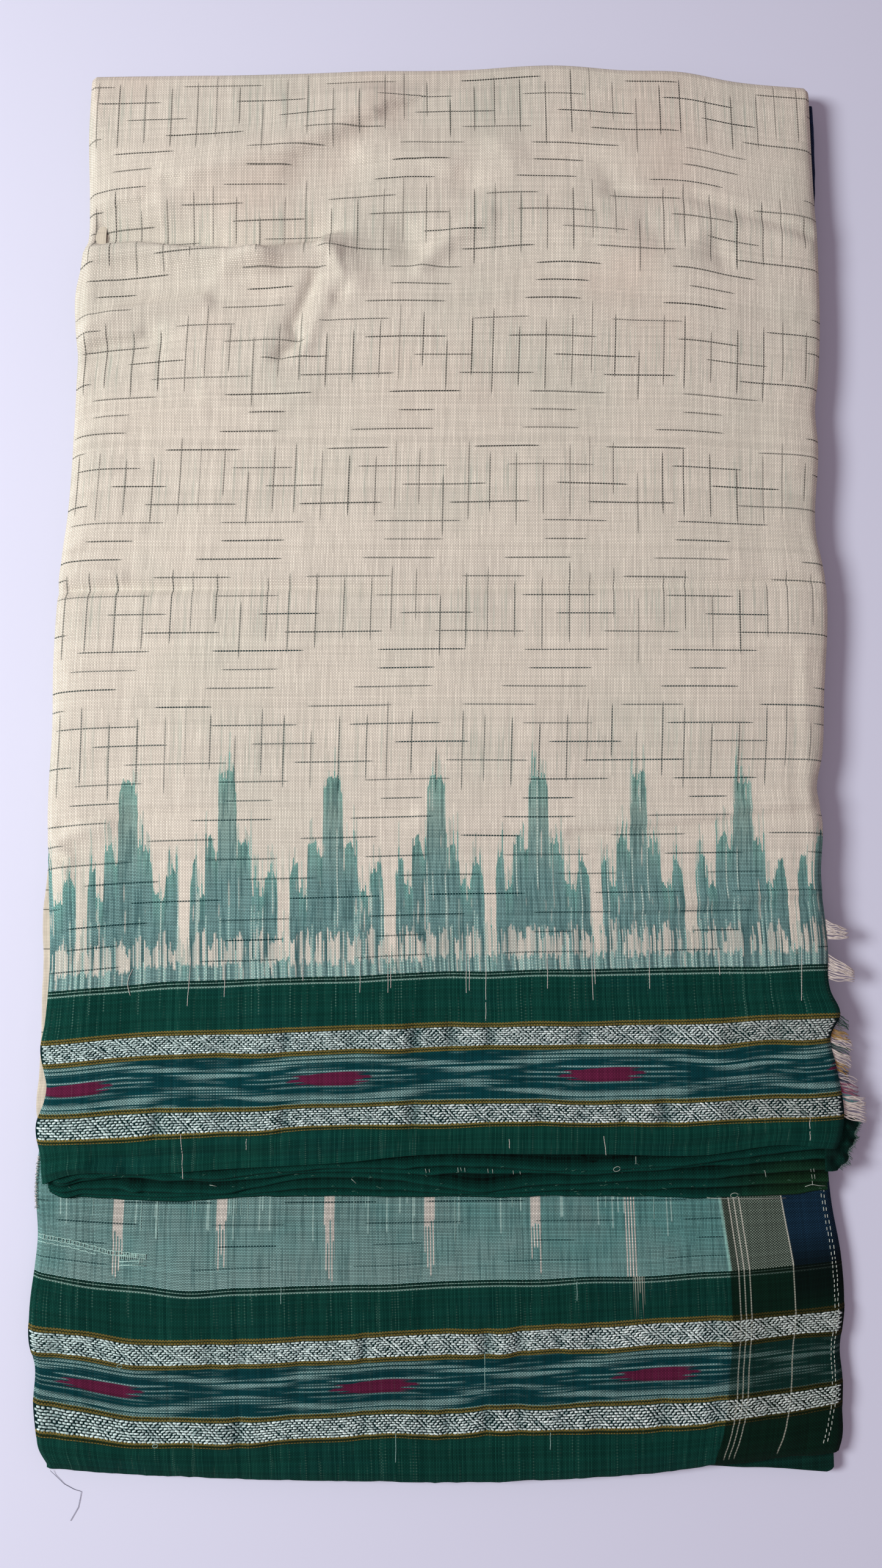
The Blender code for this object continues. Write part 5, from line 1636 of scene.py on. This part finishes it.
# Weft ends inside the open mouth, and threads on the selvedges: lines of (x, y, z)
MID_THREADS = (
    ((-8, -189.4, 14.0), (-7.6, -191.2, 13.7)), ((-6.4, -189.6, 13.9), (-6.2, -190.9, 13.7)),
    ((6, -188.9, 14.2), (6.2, -191.0, 13.8)), ((7.2, -188.9, 14.2), (7.6, -190.4, 13.8)),
    ((9, -189, 14.2), (9.2, -190.8, 13.8)), ((19, -189.4, 14.1), (19.2, -191.2, 13.8)),
    ((21, -189.6, 14.0), (21.2, -191.4, 13.7)), ((30, -190.2, 13.8), (30.2, -191.8, 13.6)),
    ((33, -190.6, 13.7), (33.2, -191.8, 13.6)), ((83, -183.8, 16.6), (83.2, -187.2, 15.4)),
    ((140, -190.4, 12.9), (140.8, -193.4, 12.0)),
    ((115, -202.6, 10.4), (122, -203.0, 10.0), (136, -203.2, 9.6), (150, -202.8, 9.8)),
    ((158, -197.6, 11.4), (161, -196.6, 11.8), (164, -197.2, 11.6), (167, -197.4, 11.2)),
    ((160.0, -188.8, 13.3), (160.4, -191.0, 12.9)), ((160.6, -192.2, 12.7), (161.0, -194.2, 12.2)),
    ((161.3, -188.8, 13.3), (161.7, -191.0, 12.9)), ((161.9, -192.2, 12.7), (162.2, -194.2, 12.2)),
    ((161.0, -195.0, 12.0), (161.3, -197.0, 11.6)), ((-40, -193.8, 13.2), (-38, -195.8, 12.6)),
    ((-101, -196.2, 13.6), (-98, -196.8, 13.4)),
)


# A pale thread that lies bent on the top cloth
BENT = ((-136, -104), (-137.6, -107.5), (-138.2, -110.5), (-137.6, -113), (-136.8, -115.5))


def small_features(top, lower):
    """The single threads that stand out: on the top cloth, between the cloths and on the lower one."""
    lines = [woven_line(top, a, b, k) for k, (a, b) in enumerate(CROSSING)]
    lines.append(resting(top, BENT, 0.25))
    lines.append(ring(-85, -171.5, 17.1, 1.1, 0.8, 0.2))
    lines.append(ring(138, -134.6, 17.1, 1.2, 0.8, 0.1))
    middle = list(MID_THREADS)
    middle.append(ring(75, -189.4, 14.6, 1.5, 1.0, 0.3))
    middle.append(ring(127, -201.4, 10.6, 1.7, 1.0, 0.1))
    low = [woven_line(lower, a, b, 50 + k) for k, (a, b) in enumerate(HANGING)]
    for x, y in ((21, -267), (-138, -272), (-122, -304.5)):
        low.append(ring(x, y, float(resting(lower, ((x, y),), 0.0)[0, 2]), 1.1, 0.8, 0.2))
    return lines, middle, low


def selvedge_fibres():
    """Short loose fibres along the rolled selvedges."""
    rng = np.random.default_rng(640)
    lines = []
    for _, top, _, edge in SELVEDGES:
        for _ in range(26):
            x = rng.uniform(SELVEDGE_X[0] + 4, SELVEDGE_X[-1])
            y = float(smooth(tuple(zip(SELVEDGE_X, edge)), x)) + rng.uniform(0.2, 2.4)
            dx, dy = rng.uniform(-2.2, 2.2), rng.uniform(-0.7, 0.7)
            z = top + 0.55
            middle = (x + dx * 0.5, y + dy + 0.2, z + rng.uniform(0, 0.3))
            lines.append([(x, y, z - 0.5), middle, (x + dx, y + dy, z)])
    return lines


def fuzzy_edge(seed):
    """Short fibres along the left edge of the lower cloth, where the layers under it look out."""
    rng = np.random.default_rng(seed)
    lines = []
    for y in np.arange(-207.0, -185.0, 0.45):
        x = float(side_x(LEFT_LOWER, RIGHT_LOWER, np.array(y))[0])
        out = rng.uniform(0.1, 0.8)
        z = 7.6 + rng.uniform(-1.0, 0.8)
        tip = (x - out, y + rng.uniform(-0.6, 0.6), z - rng.uniform(0, 0.6))
        lines.append([(x + 0.6, y, z), ((x + tip[0]) / 2, y + rng.uniform(-0.2, 0.2), z + 0.1), tip])
    return lines


def mis_weave(cloth):
    """The mis-woven place at the left of the lower cloth: a ladder of pale threads and some loops."""
    rng = np.random.default_rng(300)
    middle_x, middle_y = (-175.5, -161, -144, -128), (-218.6, -221.0, -225.4, -227.2)
    at = np.linspace(0, 3, 60)
    xs, ys = np.interp(at, range(4), middle_x), np.interp(at, range(4), middle_y)
    waver = 0.12 * np.sin(xs * 1.7)
    # The ladder's two sides, a shorter thread beside them, and its rungs
    lines = [resting(cloth, np.stack([xs, ys + 0.8 + waver], -1), 0.15)]
    lines.append(resting(cloth, np.stack([xs, ys - 0.8 - waver], -1), 0.15))
    lines.append(resting(cloth, np.stack([xs, ys - 2.3 + waver], -1)[:34], 0.12))
    x = -174.6
    while x < -132:
        y = float(np.interp(x, middle_x, middle_y))
        lines.append(resting(cloth, ((x, y + 0.8), (x + 0.1, y), (x, y - 0.8)), 0.2))
        x += rng.uniform(0.9, 2.2)
    # The loops, with three threads across them
    for k in range(7):
        x, y = -139.6 + 1.7 * k, -230.4 + rng.uniform(0, 2.0)
        loop = ((x, y), (x, y + 2.4), (x + 0.9, y + 2.5), (x + 0.95, y + 0.4))
        lines.append(resting(cloth, loop, 0.2))
    for y in (-226.6, -229.2, -230.8):
        lines.append(resting(cloth, ((-139.8, y), (-134, y + 0.2), (-128.2, y - 0.1)), 0.15))
    return lines


def floor_and_light():
    """The plain pale table, the camera and the light."""
    size = 3.0
    mesh = bpy.data.meshes.new("table_top")
    corners = [(-size, -size, 0), (size, -size, 0), (size, size, 0), (-size, size, 0)]
    mesh.from_pydata(corners, [], [(0, 1, 2, 3)])
    table = add_object("table_top", mesh)
    material, _, shader = new_shader("pale_table")
    set_plain(shader, Base_Color=srgb(207, 209, 226), Roughness=0.7, Specular_IOR_Level=0.2)
    mesh.materials.append(material)

    camera_data = bpy.data.cameras.new("camera")
    camera_data.sensor_fit = "AUTO"
    camera_data.angle = math.radians(67.0)
    camera = add_object("camera", camera_data)
    camera.matrix_world = Matrix((
        (0.9998, -0.0059, -0.0206, -0.015272),
        (0.0037, 0.9942, -0.1076, -0.083458),
        (0.0211, 0.1075, 0.9940, 0.541642),
        (0.0, 0.0, 0.0, 1.0),
    ))
    bpy.context.scene.camera = camera

    for name, place, width, power, colour in (
        ("key", (-1.10, 0.05, 1.03), 0.52, 25.0, (0.98, 1.0, 1.0)),
        ("fill", (0.2, -0.6, 1.3), 1.6, 1.6, (1.0, 0.86, 0.93)),
    ):
        data = bpy.data.lights.new(name, "AREA")
        data.shape = "DISK"
        data.size = width
        data.energy = power
        data.color = colour
        lamp = add_object(name, data)
        lamp.location = place
        # It looks at the origin
        lamp.rotation_mode = "QUATERNION"
        lamp.rotation_quaternion = (-Vector(place)).to_track_quat("-Z", "Y")
    world = bpy.data.worlds.new("soft_room")
    world.use_nodes = True
    set_plain(world.node_tree.nodes["Background"], Color=(0.92, 0.73, 0.83, 1.0), Strength=0.31)
    bpy.context.scene.world = world
    bpy.context.scene.view_settings.view_transform = "Standard"


THREADS = {
    "undyed": (216, 206, 196), "dull_white": (172, 180, 168), "gold": (178, 142, 74), "green": (18, 70, 58),
    "pale_green": (60, 112, 92), "grey": (122, 122, 112), "navy": (34, 48, 74), "magenta": (136, 44, 84),
    "teal": (70, 150, 150), "pale_teal": (150, 186, 176),
}
# The stray thread at the near left corner, which runs from under the pack on to the table
STRAY = (
    (-168.2, -317.7, 1.4), (-166.5, -319.8, 0.5), (-162.3, -323.7, 0.3), (-158.0, -325.9, 0.3),
    (-154.9, -326.8, 0.3), (-155.4, -330.0, 0.3), (-156.0, -333.2, 0.3), (-159.1, -338.6, 0.3),
)
# The navy end at the right: y and how far out it reaches
HEM_OUT = ((245, 0.4), (262, 2.0), (280, 3.0), (298, 3.6), (309, 3.2))
# The layer that looks out under the front edge: x and y of its own edge
CORNER_FRONT = (
    (100, -315.5), (112, -315.6), (130, -316.4), (148, -317.0), (160, -318.0), (166, -318.4),
    (168, -317.8), (169, -316.6),
)


def left_fold_stations():
    """The cream fold that looks out under the left edge."""
    for y in np.linspace(-187, 15, 60):
        out = float(smooth(LEFT_FOLD_X, y))
        yield (out + 5.0, y), (out, y), 10.2, 12.4


def hem_stations():
    """The navy end that looks out at the right edge."""
    for y, out in HEM_OUT:
        right = float(low_sides(np.array(float(y)))[1])
        yield (float(hidden_x(y)[1]) + 0.5, y), (right + out, y), 9.6, 11.6


def corner_stations():
    """The selvedge that looks out under the lower cloth's right corner."""
    for x, y in CORNER_FRONT:
        yield (x, float(front_y((x + HALF) / PACK_WIDTH)) + 4.0), (x, y), 4.1, 5.6


def main():
    """Builds the scene on the part's solids."""
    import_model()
    floor_and_light()

    field = field_material()
    lower_field = lower_field_material()
    top_border = border_material("border_cotton", False)
    lower_border = border_material("border_cotton_end", True)
    green = plain_material("selvedge_cotton", srgb(9, 46, 38), srgb(5, 33, 27))
    rolled = plain_material("rolled_selvedges", srgb(5, 46, 38), srgb(2, 30, 26), 0.35, True)
    navy = plain_material("navy_cotton", srgb(40, 54, 82), srgb(20, 30, 50))
    edges = fold_material()
    threads = {kind: thread_material(kind + "_thread", srgb(*colour)) for kind, colour in THREADS.items()}
    white, dull_white, dark = threads["undyed"], threads["dull_white"], threads["green"]
    pale_teal = threads["pale_teal"]

    top, top_grid = top_cloth([top_border, field])
    lower, lower_grid = lower_cloth([lower_border, lower_field])
    under = under_cloth([top_border, field])
    float_thread = float_material()
    top_floats = floats("top_dobby_floats", top_grid, TOP_PUCKERS, 5, float_thread)
    lower_floats = floats("lower_dobby_floats", lower_grid, LOWER_PUCKERS, 6, float_thread)
    selvedges = [selvedge_piece(k, *row, rolled) for k, row in enumerate(SELVEDGES)]
    hidden = folded_edges(edges)

    left_fold = lip_bar("left_fold_cloth", "left_fold", left_fold_stations(), edges, 150, low_distance, 0.5)
    hem = lip_bar("end_hem_cloth", "end_hem", hem_stations(), navy, 160, None, 0.5)
    corner_layer = lip_bar(
        "bottom_edge_cloth", "bottom_edge_layer", corner_stations(), green, 170, None, 0.4)
    torn, frayed = torn_corner(green)
    frayed_threads = laid_threads("frayed_corner_threads", frayed, dark, 0.1, 4)

    upper_tuft = tuft("undyed_tuft_upper", "end_tuft_upper", UPPER_TUFT, threads, 200)
    lower_tuft = tuft("undyed_tuft_lower", "end_tuft_lower", LOWER_TUFT, threads, 201)
    fringe = tuft("border_fringe", "end_fringe", FRINGE, threads, 202)

    stray_grey = thread_material("stray_thread_grey", srgb(96, 98, 116))
    stitches = laid_threads("running_stitch", running_stitch(lower_grid), dull_white, 0.17)
    stray = laid_threads("stray_thread", [STRAY], stray_grey, 0.1)

    on_top, between_cloths, on_lower = small_features(top_grid, lower_grid)
    top_threads = laid_threads("top_white_threads", on_top, white, 0.11)
    mid_threads = laid_threads("mid_white_threads", between_cloths, dull_white, 0.1)
    lower_threads = laid_threads("lower_white_threads", on_lower, pale_teal, 0.11)
    lint = laid_threads("selvedge_fibres", selvedge_fibres(), threads["pale_green"], 0.06, 4)
    fuzz = laid_threads("edge_fibres", fuzzy_edge(310), white, 0.1, 4)
    dark_fuzz = laid_threads("dark_edge_fibres", fuzzy_edge(311), dark, 0.1, 4)
    slubs = laid_threads("mis_woven_threads", mis_weave(lower_grid), pale_teal, 0.19)

    for piece, below in zip(selvedges, selvedges[1:] + ["hidden_layers"]):
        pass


main()
